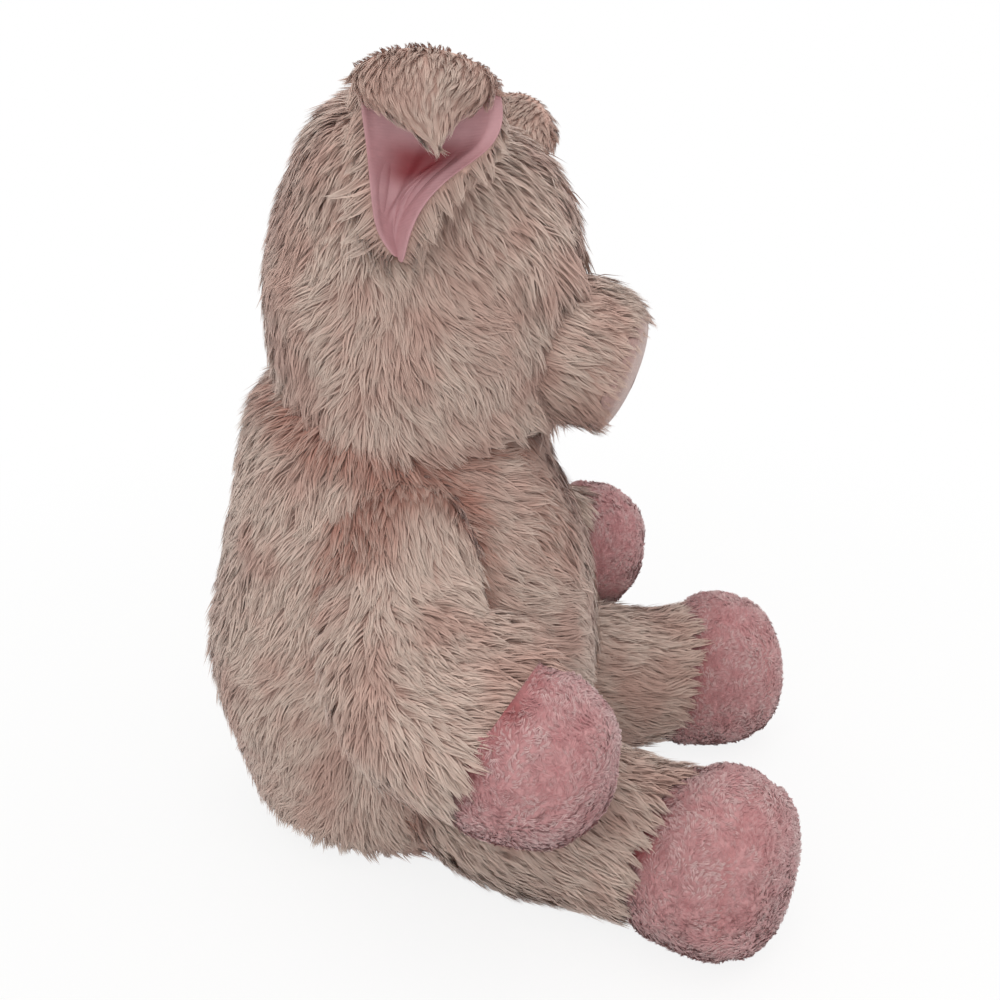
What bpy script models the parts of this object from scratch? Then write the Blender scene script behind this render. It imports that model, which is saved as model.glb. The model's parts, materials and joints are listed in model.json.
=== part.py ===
"""A seated plush pig: sewn fur panels over stuffing, velour hooves, satin lined ears.

The pig faces -Y and its right side is at -X. The origin is on the floor, under the
middle of the seat and the feet. Each soft form is a coarse cage with a Subdivision
Surface. A skin is the outer form less its cavity, cut into its sewn panels.
"""

import math

import bmesh
import bpy
import numpy as np
from mathutils import Matrix, Vector

MM = 0.001

# Cloth and clearances
SEAM_GAP = 0.3 * MM
CORE_GAP = 1.0 * MM
POCKET_GAP = 1.0 * MM
NECK_GAP = 0.8 * MM
FUR_THICKNESS = 7.0 * MM
VELOUR_THICKNESS = 4.0 * MM
SEAT_FLAT = 0.5 * MM
SEAT_SINK = 5.0 * MM
OVERRUN = 40.0 * MM
CUTTER_SIZE = 840.0 * MM
WELD_GAP = 0.01 * MM

# Torso
TORSO_HEIGHT = 209.0 * MM
TORSO_DEPTH = 154.0 * MM
TORSO_WIDTH = 140.0 * MM
TORSO_MIDDLE = 40.0 * MM
SIDE_SEAM_FORWARD = 14.0 * MM

# Neck: the head rides on a dome of this radius about this centre
NECK_BACK = 43.0 * MM
NECK_HEIGHT = 145.0 * MM
NECK_RADIUS = 65.0 * MM
NECK_LEAN = math.radians(14.0)
NECK_OPENING = 30.8 * MM
NECK_SEAM_THICKNESS = 4.0 * MM
NECK_SEAM_HEIGHT = 15.0 * MM

# Head
HEAD_BASE = 150.0 * MM
HEAD_HEIGHT = 140.0 * MM
HEAD_DEPTH = 115.0 * MM
HEAD_WIDTH = 118.0 * MM
HEAD_MIDDLE = 31.0 * MM
CROWN_WIDTH = 44.0 * MM

# Snout
SNOUT_REACH = 15.5 * MM
SNOUT_HEIGHT = 191.5 * MM
SNOUT_DROOP = math.radians(21.0)
SNOUT_TALL = 52.0 * MM
SNOUT_WIDE = 58.0 * MM
SNOUT_LENGTH = 34.0 * MM
SNOUT_FLARE_SHARE = 1.05
SNOUT_DISC_THICKNESS = 3.0 * MM
SNOUT_DISC_BULGE = 5.0 * MM
NOSTRIL_SPACING = 17.0 * MM
NOSTRIL_TALL = 10.0 * MM
NOSTRIL_WIDE = 6.0 * MM
NOSTRIL_THICKNESS = 2.4 * MM
SNOUT_EDGE_ROUND = 0.8 * MM

# Eyes: a domed head on a stem, held by a washer inside the skin
EYE_SPACING = 32.0 * MM
EYE_RISE = 90.0 * MM
EYE_DIAMETER = 9.0 * MM
EYE_STEM_DIAMETER = 3.2 * MM
EYE_STEM_LENGTH = 14.0 * MM
EYE_TURN = math.radians(15.0)
WASHER_DIAMETER = 14.0 * MM
WASHER_THICKNESS = 1.5 * MM
WASHER_DEPTH = 4.8 * MM

# Ears
EAR_SIDE = 53.2 * MM
EAR_BACK = 23.0 * MM
EAR_HEIGHT = 244.0 * MM
EAR_RISE = 66.0 * MM
EAR_REACH = 32.0 * MM
EAR_WIDTH = 50.0 * MM
EAR_CUP = 10.0 * MM
EAR_FUR_THICKNESS = 5.0 * MM
EAR_SATIN_THICKNESS = 1.4 * MM
EAR_TURN = math.radians(10.0)
EAR_FORWARD_LEAN = math.radians(5.0)
RIGHT_EAR_FLOP = math.radians(0.0)
LEFT_EAR_FLOP = math.radians(38.0)

# Arms, which lie against a plane that leans along the flank
FLANK_LEAN = math.radians(14.0)
FLANK_SIDE = 54.0 * MM
SHOULDER_SIDE = 72.0 * MM
SHOULDER_BACK = 30.0 * MM
SHOULDER_HEIGHT = 141.0 * MM
ARM_LENGTH = 86.0 * MM
ARM_THICKNESS = 55.0 * MM
HAND_THICKNESS = 57.0 * MM

# Legs
HIP_SIDE = 46.0 * MM
HIP_FORWARD = 2.0 * MM
LEG_TOE_OUT = math.radians(20.0)
LEG_LENGTH = 153.0 * MM
LEG_THICKNESS = 66.0 * MM
FOOT_THICKNESS = 67.0 * MM
LEG_RAISE = math.radians(2.5)
LEG_DROP = math.radians(8.0)

# Outline shares, each row along its form: place along it, shift of its middle,
# half depth and half width
torso_row_shares = (
    (0.030, 0.010, 0.350, 0.350),
    (0.140, 0.000, 0.455, 0.465),
    (0.340, 0.000, 0.500, 0.500),
    (0.560, 0.003, 0.472, 0.462),
    (0.740, 0.030, 0.405, 0.385),
    (0.885, 0.022, 0.300, 0.300),
)
head_row_shares = (
    (0.100, -0.020, 0.390, 0.370),
    (0.235, 0.025, 0.478, 0.466),
    (0.415, 0.005, 0.500, 0.500),
    (0.615, -0.009, 0.492, 0.492),
    (0.800, -0.022, 0.433, 0.432),
    (0.925, -0.045, 0.300, 0.310),
)
# Place along the leg, half height and half width
leg_row_shares = (
    (0.060, 0.350, 0.350),
    (0.230, 0.560, 0.490),
    (0.440, 0.530, 0.480),
    (0.640, 0.470, 0.450),
    (0.810, 0.505, 0.510),
    (0.945, 0.380, 0.380),
)
# Place down the arm, place forward, and half thickness in the flank plane and out of it
arm_row_shares = (
    (-0.250, -0.020, 0.330, 0.330),
    (-0.020, 0.000, 0.490, 0.470),
    (0.260, 0.020, 0.560, 0.500),
    (0.460, 0.120, 0.620, 0.510),
    (0.600, 0.320, 0.640, 0.500),
    (0.740, 0.620, 0.540, 0.510),
    (0.810, 0.840, 0.370, 0.370),
)
# Up the ear, outward, half width and depth of the cup
ear_row_shares = (
    (0.00, 0.00, 0.13, 0.50),
    (0.24, 0.08, 0.34, 1.00),
    (0.55, 0.22, 0.48, 0.80),
    (0.86, 0.36, 0.50, 0.45),
    (1.00, 0.62, 0.46, 0.20),
    (0.82, 0.90, 0.34, 0.05),
    (0.45, 1.00, 0.08, 0.00),
)
ear_column_shares = (-1.0, -0.36, 0.36, 1.0)

ARM_END_SHARE = 0.2
HALF_SHARE = 0.5
ANKLE_SHARE = 0.655
SOLE_SHARE = 0.90
WRIST_SHARE = 0.50
PALM_SHARE = 0.80

FUR_COLOUR = (0.413, 0.319, 0.270, 1.0)
VELOUR_COLOUR = (0.413, 0.224, 0.227, 1.0)
SATIN_COLOUR = (0.371, 0.201, 0.209, 1.0)
FELT_COLOUR = (0.283, 0.216, 0.196, 1.0)
STUFFING_COLOUR = (0.800, 0.790, 0.760, 1.0)
THREAD_COLOUR = (0.300, 0.150, 0.130, 1.0)
EYE_COLOUR = (0.012, 0.010, 0.010, 1.0)
WASHER_COLOUR = (0.650, 0.650, 0.620, 1.0)

X_AXIS = Vector((1, 0, 0))
Y_AXIS = Vector((0, 1, 0))
Z_AXIS = Vector((0, 0, 1))
NECK_CENTRE = Vector((0, NECK_BACK, NECK_HEIGHT))
NECK_AXIS = Matrix.Rotation(NECK_LEAN, 3, "X") @ Z_AXIS
SIDES = {"right": -1, "left": 1}
EAR_FLOPS = {-1: RIGHT_EAR_FLOP, 1: LEFT_EAR_FLOP}


def clear_scene():
    for obj in list(bpy.data.objects):
        bpy.data.objects.remove(obj, do_unlink=True)


def new_collection(name, hidden=False):
    made = bpy.data.collections.new(name)
    bpy.context.scene.collection.children.link(made)
    made.hide_render = hidden
    return made


def new_material(name, colour, roughness):
    made = bpy.data.materials.new(name)
    made.use_nodes = True
    shader = made.node_tree.nodes["Principled BSDF"]
    shader.inputs["Base Color"].default_value = colour
    shader.inputs["Roughness"].default_value = roughness
    shader.inputs["Metallic"].default_value = 0.0
    made.diffuse_color = colour
    return made


clear_scene()
PARTS = new_collection("plush_pig")
CUTTERS = new_collection("cutters", hidden=True)
FUR = new_material("fur", FUR_COLOUR, 0.9)
VELOUR = new_material("velour", VELOUR_COLOUR, 0.8)
SATIN = new_material("satin", SATIN_COLOUR, 0.4)
FELT = new_material("felt", FELT_COLOUR, 0.9)
STUFFING = new_material("stuffing", STUFFING_COLOUR, 1.0)
THREAD = new_material("thread", THREAD_COLOUR, 0.8)
EYE = new_material("eye", EYE_COLOUR, 0.1)
WASHER = new_material("washer", WASHER_COLOUR, 0.5)


def add_object(name, mesh, material=None):
    """A piece if it has a material, or else a cutter."""
    obj = bpy.data.objects.new(name, mesh)
    if material is None:
        CUTTERS.objects.link(obj)
        obj.hide_render = True
        obj.display_type = "WIRE"
        return obj
    PARTS.objects.link(obj)
    mesh.materials.append(material)
    mesh.shade_smooth()
    return obj


def mesh_from(build):
    """A mesh from a function that fills a bmesh."""
    made = bmesh.new()
    build(made)
    bmesh.ops.recalc_face_normals(made, faces=made.faces)
    mesh = bpy.data.meshes.new("form")
    made.to_mesh(mesh)
    made.free()
    return mesh


def boolean(obj, other, operation="DIFFERENCE"):
    """Cuts with the MANIFOLD solver: EXACT loses whole panels of these soft forms."""
    cut = obj.modifiers.new(operation.lower(), "BOOLEAN")
    cut.operation = operation
    cut.solver = "MANIFOLD"
    cut.object = other
    return obj


def smooth_form(obj, levels):
    smoothing = obj.modifiers.new("smooth", "SUBSURF")
    smoothing.levels = levels
    smoothing.render_levels = levels
    return obj


def through_rows(rows):
    """Cage rows whose smoothed surface passes through the rows given."""
    rows = np.array(rows, float)
    blend = np.eye(len(rows))
    for row in range(1, len(rows) - 1):
        blend[row, row - 1 : row + 2] = (1 / 6, 4 / 6, 1 / 6)
    return np.linalg.solve(blend, rows)


def grown(rows, grow):
    """Rows of the surface that lies grow outside that of the rows given."""
    rows = np.array(rows, float)
    moved = rows.copy()
    for number in range(1, len(rows) - 1):
        before, after = rows[number - 1], rows[number + 1]
        path = after[:3] - before[:3]
        length = np.linalg.norm(path)
        slope = (after[3:].mean() - before[3:].mean()) / length
        tilt = math.hypot(1, slope)
        moved[number, :3] -= path / length * (grow * slope / tilt)
        moved[number, 3:] += grow / tilt
    for end, inner in ((0, 1), (-1, -2)):
        outward = rows[end, :3] - rows[inner, :3]
        moved[end, :3] += grow * outward / np.linalg.norm(outward)
    return moved


def soft_form(name, rows, across, sides, levels, grow=0.0, material=None):
    """A closed swelling form, lofted from pole to pole through rows of its middle, half
    thickness along across, and half thickness square to it. grow moves its surface out."""
    rows = through_rows(grown(rows, grow))
    middles = [Vector(row[:3]) for row in rows]
    swell = 3 / (2 + math.cos(math.tau / sides))

    def build(made):
        rings = []
        for number in range(1, len(rows) - 1):
            tangent = middles[number + 1] - middles[number - 1]
            side = tangent.cross(across).normalized()
            deep = side.cross(tangent).normalized()
            half_deep, half_side = rows[number, 3:] * swell
            ring = []
            for step in range(sides):
                turn = math.tau * (step + 0.5) / sides
                place = middles[number] + deep * half_deep * math.sin(turn)
                place += side * half_side * math.cos(turn)
                ring.append(made.verts.new(place))
            rings.append(ring)
        for near, far in zip(rings, rings[1:]):
            for step in range(sides):
                after = (step + 1) % sides
                made.faces.new((near[step], near[after], far[after], far[step]))
        for ring, middle in ((rings[0], middles[0]), (rings[-1], middles[-1])):
            pole = made.verts.new(middle)
            for step in range(sides):
                made.faces.new((ring[step], ring[(step + 1) % sides], pole))

    return smooth_form(add_object(name, mesh_from(build), material), levels)


def half_space(name, point, normal):
    """A cutter that fills the side of a plane that its normal points to."""

    def build(made):
        bmesh.ops.create_cube(made, size=CUTTER_SIZE)

    obj = add_object(name, mesh_from(build))
    turn = Vector(normal).to_track_quat("Z", "Y")
    obj.matrix_world = Matrix.Translation(
        Vector(point) + Vector(normal).normalized() * (CUTTER_SIZE / 2)
    ) @ turn.to_matrix().to_4x4()
    return obj


def ball(name, centre, radius, segments=24, rings=12):
    def build(made):
        bmesh.ops.create_uvsphere(
            made, u_segments=segments, v_segments=rings, radius=radius
        )

    obj = add_object(name, mesh_from(build))
    turn = NECK_AXIS.to_track_quat("Z", "Y").to_matrix().to_4x4()
    off_seams = Matrix.Rotation(math.tau / segments / 3, 4, "Z")
    obj.matrix_world = Matrix.Translation(centre) @ turn @ off_seams
    return obj


def rod(name, start, end, radius, segments=24):
    """A cylinder between two points."""
    start, end = Vector(start), Vector(end)

    def build(made):
        bmesh.ops.create_cone(
            made,
            cap_ends=True,
            segments=segments,
            radius1=radius,
            radius2=radius,
            depth=(end - start).length,
        )

    obj = add_object(name, mesh_from(build))
    turn = (end - start).to_track_quat("Z", "Y")
    obj.matrix_world = (
        Matrix.Translation((start + end) / 2) @ turn.to_matrix().to_4x4()
    )
    return obj


def panel(name, form, material, keep, cut):
    """A sewn panel: the part of a form inside every keeper and outside every cutter."""
    obj = add_object(name, form.data.copy(), material)
    smooth_form(obj, form.modifiers["smooth"].levels)
    for keeper in keep:
        boolean(obj, keeper, "INTERSECT")
    for cutter in cut:
        boolean(obj, cutter)
    return obj


def empty(name, place, parent=None):
    obj = bpy.data.objects.new(name, None)
    PARTS.objects.link(obj)
    obj.empty_display_size = EYE_DIAMETER
    obj.location = Vector(place) - (parent.matrix_basis.translation if parent else Vector())
    obj.parent = parent
    return obj


def carry(pivot, *pieces):
    """Parents pieces to their joint's empty and leaves them where they are."""
    place = pivot.location.copy()
    above = pivot.parent
    while above:
        place += above.location
        above = above.parent
    for piece in pieces:
        piece.parent = pivot
        piece.matrix_parent_inverse = Matrix.Translation(-place)


# Rows of each form, in metres

def torso_rows():
    rows = [(0, TORSO_MIDDLE, -SEAT_SINK, 0, 0)]
    for height, shift, deep, wide in torso_row_shares:
        rows.append(
            (
                0,
                TORSO_MIDDLE + shift * TORSO_DEPTH,
                height * TORSO_HEIGHT,
                deep * TORSO_DEPTH,
                wide * TORSO_WIDTH,
            )
        )
    rows.append((0, TORSO_MIDDLE, TORSO_HEIGHT, 0, 0))
    return rows


def head_rows():
    rows = [(0, HEAD_MIDDLE, HEAD_BASE, 0, 0)]
    for height, shift, deep, wide in head_row_shares:
        rows.append(
            (
                0,
                HEAD_MIDDLE + shift * HEAD_DEPTH,
                HEAD_BASE + height * HEAD_HEIGHT,
                deep * HEAD_DEPTH,
                wide * HEAD_WIDTH,
            )
        )
    last_shift = head_row_shares[-1][1]
    rows.append((0, HEAD_MIDDLE + last_shift * HEAD_DEPTH, HEAD_BASE + HEAD_HEIGHT, 0, 0))
    return rows


def leg_direction(side):
    return Vector((side * math.sin(LEG_TOE_OUT), -math.cos(LEG_TOE_OUT), 0))


def hip(side):
    """The hip's pivot, at the middle of the leg's round back end."""
    half_height = leg_row_shares[1][1] * LEG_THICKNESS
    return Vector((side * HIP_SIDE, -HIP_FORWARD, half_height - SEAT_FLAT))


def leg_start(side):
    """The back end of the leg, behind the hip."""
    return hip(side) - leg_direction(side) * (leg_row_shares[1][0] * LEG_LENGTH)


def leg_rows(side):
    start = leg_start(side)
    along = leg_direction(side)
    rows = [(*start, 0, 0)]
    for number, (place, tall, wide) in enumerate(leg_row_shares):
        thickness = FOOT_THICKNESS if place > ANKLE_SHARE else LEG_THICKNESS
        middle = start + along * (place * LEG_LENGTH)
        # The first row keeps the hip's height, and the others lie on the floor
        if number > 0:
            middle.z = max(tall, HALF_SHARE) * thickness - SEAT_FLAT
        rows.append((*middle, tall * thickness, wide * thickness))
    toe = start + along * LEG_LENGTH
    toe.z = FOOT_THICKNESS / 2 - SEAT_FLAT
    rows.append((*toe, 0, 0))
    return rows


def pocket_rows(side):
    """The room that the torso leaves for the leg, with the height that it needs to swing."""
    rows = []
    for x, y, z, tall, wide in leg_rows(side):
        ahead = max(0.0, (Vector((x, y, z)) - hip(side)).dot(leg_direction(side)))
        above = ahead * math.tan(LEG_RAISE)
        below = ahead * math.tan(LEG_DROP)
        tall = tall + (above + below) / 2 if tall else 0
        rows.append((x, y, z + (above - below) / 2, tall, wide))
    return rows


def flank_normal(side):
    return Vector((side * math.cos(FLANK_LEAN), 0, math.sin(FLANK_LEAN)))


def flank_point(side):
    return Vector((side * FLANK_SIDE, 0, SHOULDER_HEIGHT))


def shoulder(side):
    return Vector((side * SHOULDER_SIDE, SHOULDER_BACK, SHOULDER_HEIGHT))


def arm_rows(side):
    down = Vector((side * math.sin(FLANK_LEAN), 0, -math.cos(FLANK_LEAN)))
    rows = []
    for lower, forward, flat, thick in arm_row_shares:
        thickness = HAND_THICKNESS if forward > WRIST_SHARE else ARM_THICKNESS
        middle = shoulder(side) + down * (lower * ARM_LENGTH)
        middle.y -= forward * ARM_LENGTH
        middle += flank_normal(side) * (max(0.0, lower) * ARM_THICKNESS / 4)
        rows.append((*middle, thick * thickness, flat * thickness))
    first, last = Vector(rows[0][:3]), Vector(rows[-1][:3])
    top = first - down * (ARM_END_SHARE * ARM_THICKNESS)
    tip = last + (last - Vector(rows[-2][:3])).normalized() * (
        ARM_END_SHARE * HAND_THICKNESS
    )
    return [(*top, 0, 0), *rows, (*tip, 0, 0)]


# Forms that several pieces share

SHARED = {}


def make_shared():
    fur_inside = -FUR_THICKNESS
    SHARED["floor"] = half_space("floor", (0, 0, 0), Z_AXIS)
    SHARED["stuffing_floor"] = half_space(
        "stuffing_floor", (0, 0, FUR_THICKNESS), Z_AXIS
    )
    SHARED["lining_floor"] = half_space(
        "lining_floor", (0, 0, FUR_THICKNESS + CORE_GAP), Z_AXIS
    )
    SHARED["torso_cavity"] = soft_form(
        "torso_cavity", torso_rows(), Y_AXIS, 6, 1, fur_inside
    )
    SHARED["head_cavity"] = soft_form(
        "head_cavity", head_rows(), Y_AXIS, 6, 1, fur_inside
    )
    SHARED["head_clearance"] = soft_form(
        "head_clearance", head_rows(), Y_AXIS, 10, 1, SEAM_GAP
    )
    SHARED["neck_dish"] = ball("neck_dish", NECK_CENTRE, NECK_RADIUS + NECK_GAP)
    SHARED["neck_lining"] = ball(
        "neck_lining", NECK_CENTRE, NECK_RADIUS + NECK_GAP + FUR_THICKNESS
    )
    SHARED["neck_stuffing"] = ball(
        "neck_stuffing", NECK_CENTRE, NECK_RADIUS + NECK_GAP + FUR_THICKNESS + CORE_GAP
    )
    boolean(SHARED["head_cavity"], SHARED["neck_lining"])
    SHARED["neck_hole"] = rod(
        "neck_hole",
        NECK_CENTRE + NECK_AXIS * (NECK_RADIUS / 2),
        NECK_CENTRE + NECK_AXIS * (NECK_RADIUS + OVERRUN),
        NECK_OPENING,
        32,
    )
    for side_name, side in SIDES.items():
        for label, grow, sides in (
            ("pocket", POCKET_GAP, 8),
            ("pocket_lining", POCKET_GAP + FUR_THICKNESS, 6),
            ("pocket_stuffing", POCKET_GAP + FUR_THICKNESS + CORE_GAP, 6),
        ):
            name = f"{label}_{side_name}"
            SHARED[name] = soft_form(name, pocket_rows(side), Z_AXIS, sides, 1, grow)
        boolean(SHARED["torso_cavity"], SHARED[f"pocket_lining_{side_name}"])
        outward = flank_normal(side)
        SHARED[f"flank_{side_name}"] = half_space(
            f"flank_{side_name}", flank_point(side), outward
        )
        SHARED[f"arm_side_{side_name}"] = half_space(
            f"arm_side_{side_name}", flank_point(side) + outward * SEAM_GAP, outward
        )
    boolean(SHARED["torso_cavity"], SHARED["stuffing_floor"], "INTERSECT")


def half_pair(name, point, normal):
    """Two cutters, on either side of a seam in a plane, half a gap from it each."""
    point, normal = Vector(point), Vector(normal).normalized()
    ahead = half_space(f"{name}_ahead", point + normal * (SEAM_GAP / 2), normal)
    behind = half_space(f"{name}_behind", point - normal * (SEAM_GAP / 2), -normal)
    return ahead, behind


def make_torso():
    outer = soft_form("torso_outer", torso_rows(), Y_AXIS, 10, 1)
    cuts = [SHARED["torso_cavity"], SHARED["neck_hole"]]
    for side_name in SIDES:
        cuts.append(SHARED[f"pocket_{side_name}"])
        cuts.append(SHARED[f"flank_{side_name}"])
    front, back = half_pair("side_seam", (0, SIDE_SEAM_FORWARD, 0), -Y_AXIS)
    left, right = half_pair("back_seam", (0, 0, 0), X_AXIS)
    floor = SHARED["floor"]
    panel("body_front", outer, FUR, (floor, front), cuts)
    panel("body_back_left", outer, FUR, (floor, back, left), cuts)
    panel("body_back_right", outer, FUR, (floor, back, right), cuts)
    stuffing = soft_form(
        "body_stuffing",
        torso_rows(),
        Y_AXIS,
        6,
        1,
        -FUR_THICKNESS - CORE_GAP,
        STUFFING,
    )
    boolean(stuffing, SHARED["lining_floor"], "INTERSECT")
    boolean(stuffing, neck_band("neck_band_room", CORE_GAP))
    for side_name in SIDES:
        boolean(stuffing, SHARED[f"pocket_stuffing_{side_name}"])


def neck_band(name, grow=0.0, material=None):
    """The gathered seam allowance round the neck opening, up to the head's dish."""
    outer = NECK_OPENING - SEAM_GAP + grow
    inner = outer - NECK_SEAM_THICKNESS - 2 * grow
    reach = NECK_RADIUS - SEAM_GAP + grow
    outer_top = math.sqrt(reach**2 - outer**2)
    inner_top = math.sqrt(reach**2 - inner**2)
    low = outer_top - NECK_SEAM_HEIGHT - 2 * grow
    profile = [
        (inner, inner_top),
        (outer, outer_top),
        (outer, low),
        (inner, low),
    ]
    band = turned(name, profile, material)
    band.modifiers["turn"].steps = 24
    band.modifiers["turn"].render_steps = 24
    turn = NECK_AXIS.to_track_quat("Z", "Y")
    band.matrix_world = Matrix.Translation(NECK_CENTRE) @ turn.to_matrix().to_4x4()
    return band


def snout_frame():
    """Turns a disc's own axis, +Z, to the way that the snout faces."""
    facing = Vector((0, -math.cos(SNOUT_DROOP), -math.sin(SNOUT_DROOP)))
    forward = HEAD_DEPTH / 2 - HEAD_MIDDLE + SNOUT_REACH
    centre = Vector((0, -forward, SNOUT_HEIGHT))
    up = Vector((0, -math.sin(SNOUT_DROOP), math.cos(SNOUT_DROOP)))
    turn = Matrix((up.cross(facing), up, facing)).transposed().to_4x4()
    return Matrix.Translation(centre) @ turn


def snout_cone(name, front, back, inset, material=None):
    """A slice of the snout's oval cone, from front to back behind the disc's face."""

    def build(made):
        flare = 1 + (SNOUT_FLARE_SHARE - 1) * (back / SNOUT_LENGTH)
        bmesh.ops.create_cone(
            made,
            cap_ends=True,
            segments=24,
            radius1=flare,
            radius2=1,
            depth=1,
        )
        for vert in made.verts:
            depth = front if vert.co.z > 0 else back
            vert.co.x *= SNOUT_WIDE / 2 - inset
            vert.co.y *= SNOUT_TALL / 2 - inset
            vert.co.z = -depth

    obj = add_object(name, mesh_from(build), material)
    obj.matrix_world = snout_frame()
    return obj


def rounded(obj, width, segments=2):
    bevel = obj.modifiers.new("round", "BEVEL")
    bevel.width = width
    bevel.segments = segments
    bevel.limit_method = "ANGLE"
    return obj


def snout_disc_profile():
    """Down the disc's domed face to its rim, then back to its middle."""
    rim = SNOUT_TALL / 2
    face = [
        (rim * math.sin(turn), SNOUT_DISC_BULGE * math.cos(turn))
        for turn in np.linspace(0, math.pi / 2, 7)
    ]
    face[0] = (0, SNOUT_DISC_BULGE)
    return [*face, (rim, -SNOUT_DISC_THICKNESS), (0, -SNOUT_DISC_THICKNESS)]


def nostril_form(name, side, grow=0.0, material=None):
    """A stitched lens, half sunk in the disc's domed face."""
    aside = side * NOSTRIL_SPACING / 2
    level = SNOUT_DISC_BULGE * math.sqrt(1 - (aside / (SNOUT_WIDE / 2)) ** 2)

    def build(made):
        bmesh.ops.create_uvsphere(made, u_segments=10, v_segments=6, radius=1)
        for vert in made.verts:
            vert.co.x = aside + vert.co.x * (NOSTRIL_WIDE / 2 + grow)
            vert.co.y *= NOSTRIL_TALL / 2 + grow
            vert.co.z = level + vert.co.z * (NOSTRIL_THICKNESS / 2 + grow)

    obj = add_object(name, mesh_from(build), material)
    obj.matrix_world = snout_frame()
    return obj


def make_snout():
    under_disc = SNOUT_DISC_THICKNESS + SEAM_GAP
    core = snout_cone("snout_core", 0, SNOUT_LENGTH + OVERRUN, FUR_THICKNESS)
    band = snout_cone("snout_band", under_disc, SNOUT_LENGTH, 0, FUR)
    rounded(band, SNOUT_EDGE_ROUND)
    boolean(band, core)
    boolean(band, SHARED["head_clearance"])
    plug = snout_cone(
        "snout_stuffing", under_disc, SNOUT_LENGTH, FUR_THICKNESS + SEAM_GAP, STUFFING
    )
    boolean(plug, SHARED["head_clearance"])
    disc = turned("snout_disc", snout_disc_profile(), FELT)
    oval = Matrix.Diagonal((SNOUT_WIDE / SNOUT_TALL, 1, 1, 1))
    disc.matrix_world = snout_frame() @ oval
    pieces = [band, plug, disc]
    for side_name, side in SIDES.items():
        boolean(disc, nostril_form(f"nostril_room_{side_name}", side, SEAM_GAP))
        pieces.append(nostril_form(f"nostril_{side_name}", side, 0.0, THREAD))
    return pieces


def eye_frame(side):
    """Stands on the head's surface at the eye, with +Z outward."""
    outward = Vector((side * math.sin(EYE_TURN), -math.cos(EYE_TURN), 0))
    level = EYE_RISE / HEAD_HEIGHT
    heights = [row[0] for row in head_row_shares]
    middle = HEAD_MIDDLE + HEAD_DEPTH * np.interp(
        level, heights, [row[1] for row in head_row_shares]
    )
    half_deep = HEAD_DEPTH * np.interp(
        level, heights, [row[2] for row in head_row_shares]
    )
    half_wide = HEAD_WIDTH * np.interp(
        level, heights, [row[3] for row in head_row_shares]
    )
    aside = EYE_SPACING / 2 / half_wide
    forward = middle - half_deep * math.sqrt(1 - aside**2)
    place = Vector((side * EYE_SPACING / 2, forward, HEAD_BASE + EYE_RISE))
    turn = outward.to_track_quat("Z", "Y").to_matrix().to_4x4()
    return Matrix.Translation(place) @ turn


def turned(name, profile, material):
    """A closed body turned about its own Z from a profile that runs down its outer side.
    A profile that starts off the axis closes on itself, which makes a ring."""

    def build(made):
        verts = [made.verts.new((radius, 0, height)) for radius, height in profile]
        for first, second in zip(verts, verts[1:]):
            made.edges.new((first, second))
        if profile[0][0] > 0:
            made.edges.new((verts[-1], verts[0]))

    obj = add_object(name, mesh_from(build), material)
    screw = obj.modifiers.new("turn", "SCREW")
    screw.steps = 14
    screw.render_steps = 14
    screw.use_merge_vertices = True
    screw.merge_threshold = WELD_GAP
    return obj


def make_eyes():
    radius = EYE_DIAMETER / 2
    stem = EYE_STEM_DIAMETER / 2
    seat = -radius
    pieces = []
    sockets = []
    rooms = []
    for side_name, side in SIDES.items():
        frame = eye_frame(side)
        dome = [
            (radius * math.sin(turn), seat + radius * math.cos(turn))
            for turn in np.linspace(0, math.pi / 2, 5)
        ]
        dome[0] = (0, seat + radius)
        profile = dome + [(stem, seat), (stem, seat - EYE_STEM_LENGTH)]
        profile.append((0, seat - EYE_STEM_LENGTH))
        eye = turned(f"eye_{side_name}", profile, EYE)
        eye.matrix_world = frame
        washer_top = -FUR_THICKNESS - WASHER_DEPTH
        washer_low = washer_top - WASHER_THICKNESS
        hole = stem + SEAM_GAP
        edge = WASHER_DIAMETER / 2
        washer = turned(
            f"eye_washer_{side_name}",
            [
                (hole, washer_top),
                (edge, washer_top),
                (edge, washer_low),
                (hole, washer_low),
            ],
            WASHER,
        )
        washer.matrix_world = frame
        origin = frame.translation
        outward = frame.to_3x3() @ Z_AXIS
        socket = rod(
            f"eye_socket_{side_name}",
            origin - outward * (FUR_THICKNESS + OVERRUN / 4),
            origin + outward * OVERRUN,
            radius + SEAM_GAP,
        )
        room = rod(
            f"washer_room_{side_name}",
            origin - outward * (radius + EYE_STEM_LENGTH + SEAM_GAP),
            origin + outward * OVERRUN,
            edge + SEAM_GAP,
        )
        sockets.append(socket)
        rooms.append(room)
        pieces += [eye, washer]
    return pieces, sockets, rooms


def ear_frame(side):
    """The ear's own axes at its root: across it, up it, and outward."""
    place = Vector((side * EAR_SIDE, EAR_BACK, EAR_HEIGHT))
    outward = Vector((side * math.cos(EAR_TURN), -math.sin(EAR_TURN), 0))
    across = Z_AXIS.cross(outward)
    lean = Matrix.Rotation(side * EAR_FORWARD_LEAN, 3, outward)
    flop = Matrix.Rotation(EAR_FLOPS[side], 3, across)
    turn = flop @ lean
    axes = Matrix((turn @ across, turn @ Z_AXIS, turn @ outward)).transposed()
    return Matrix.Translation(place) @ axes.to_4x4()


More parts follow.
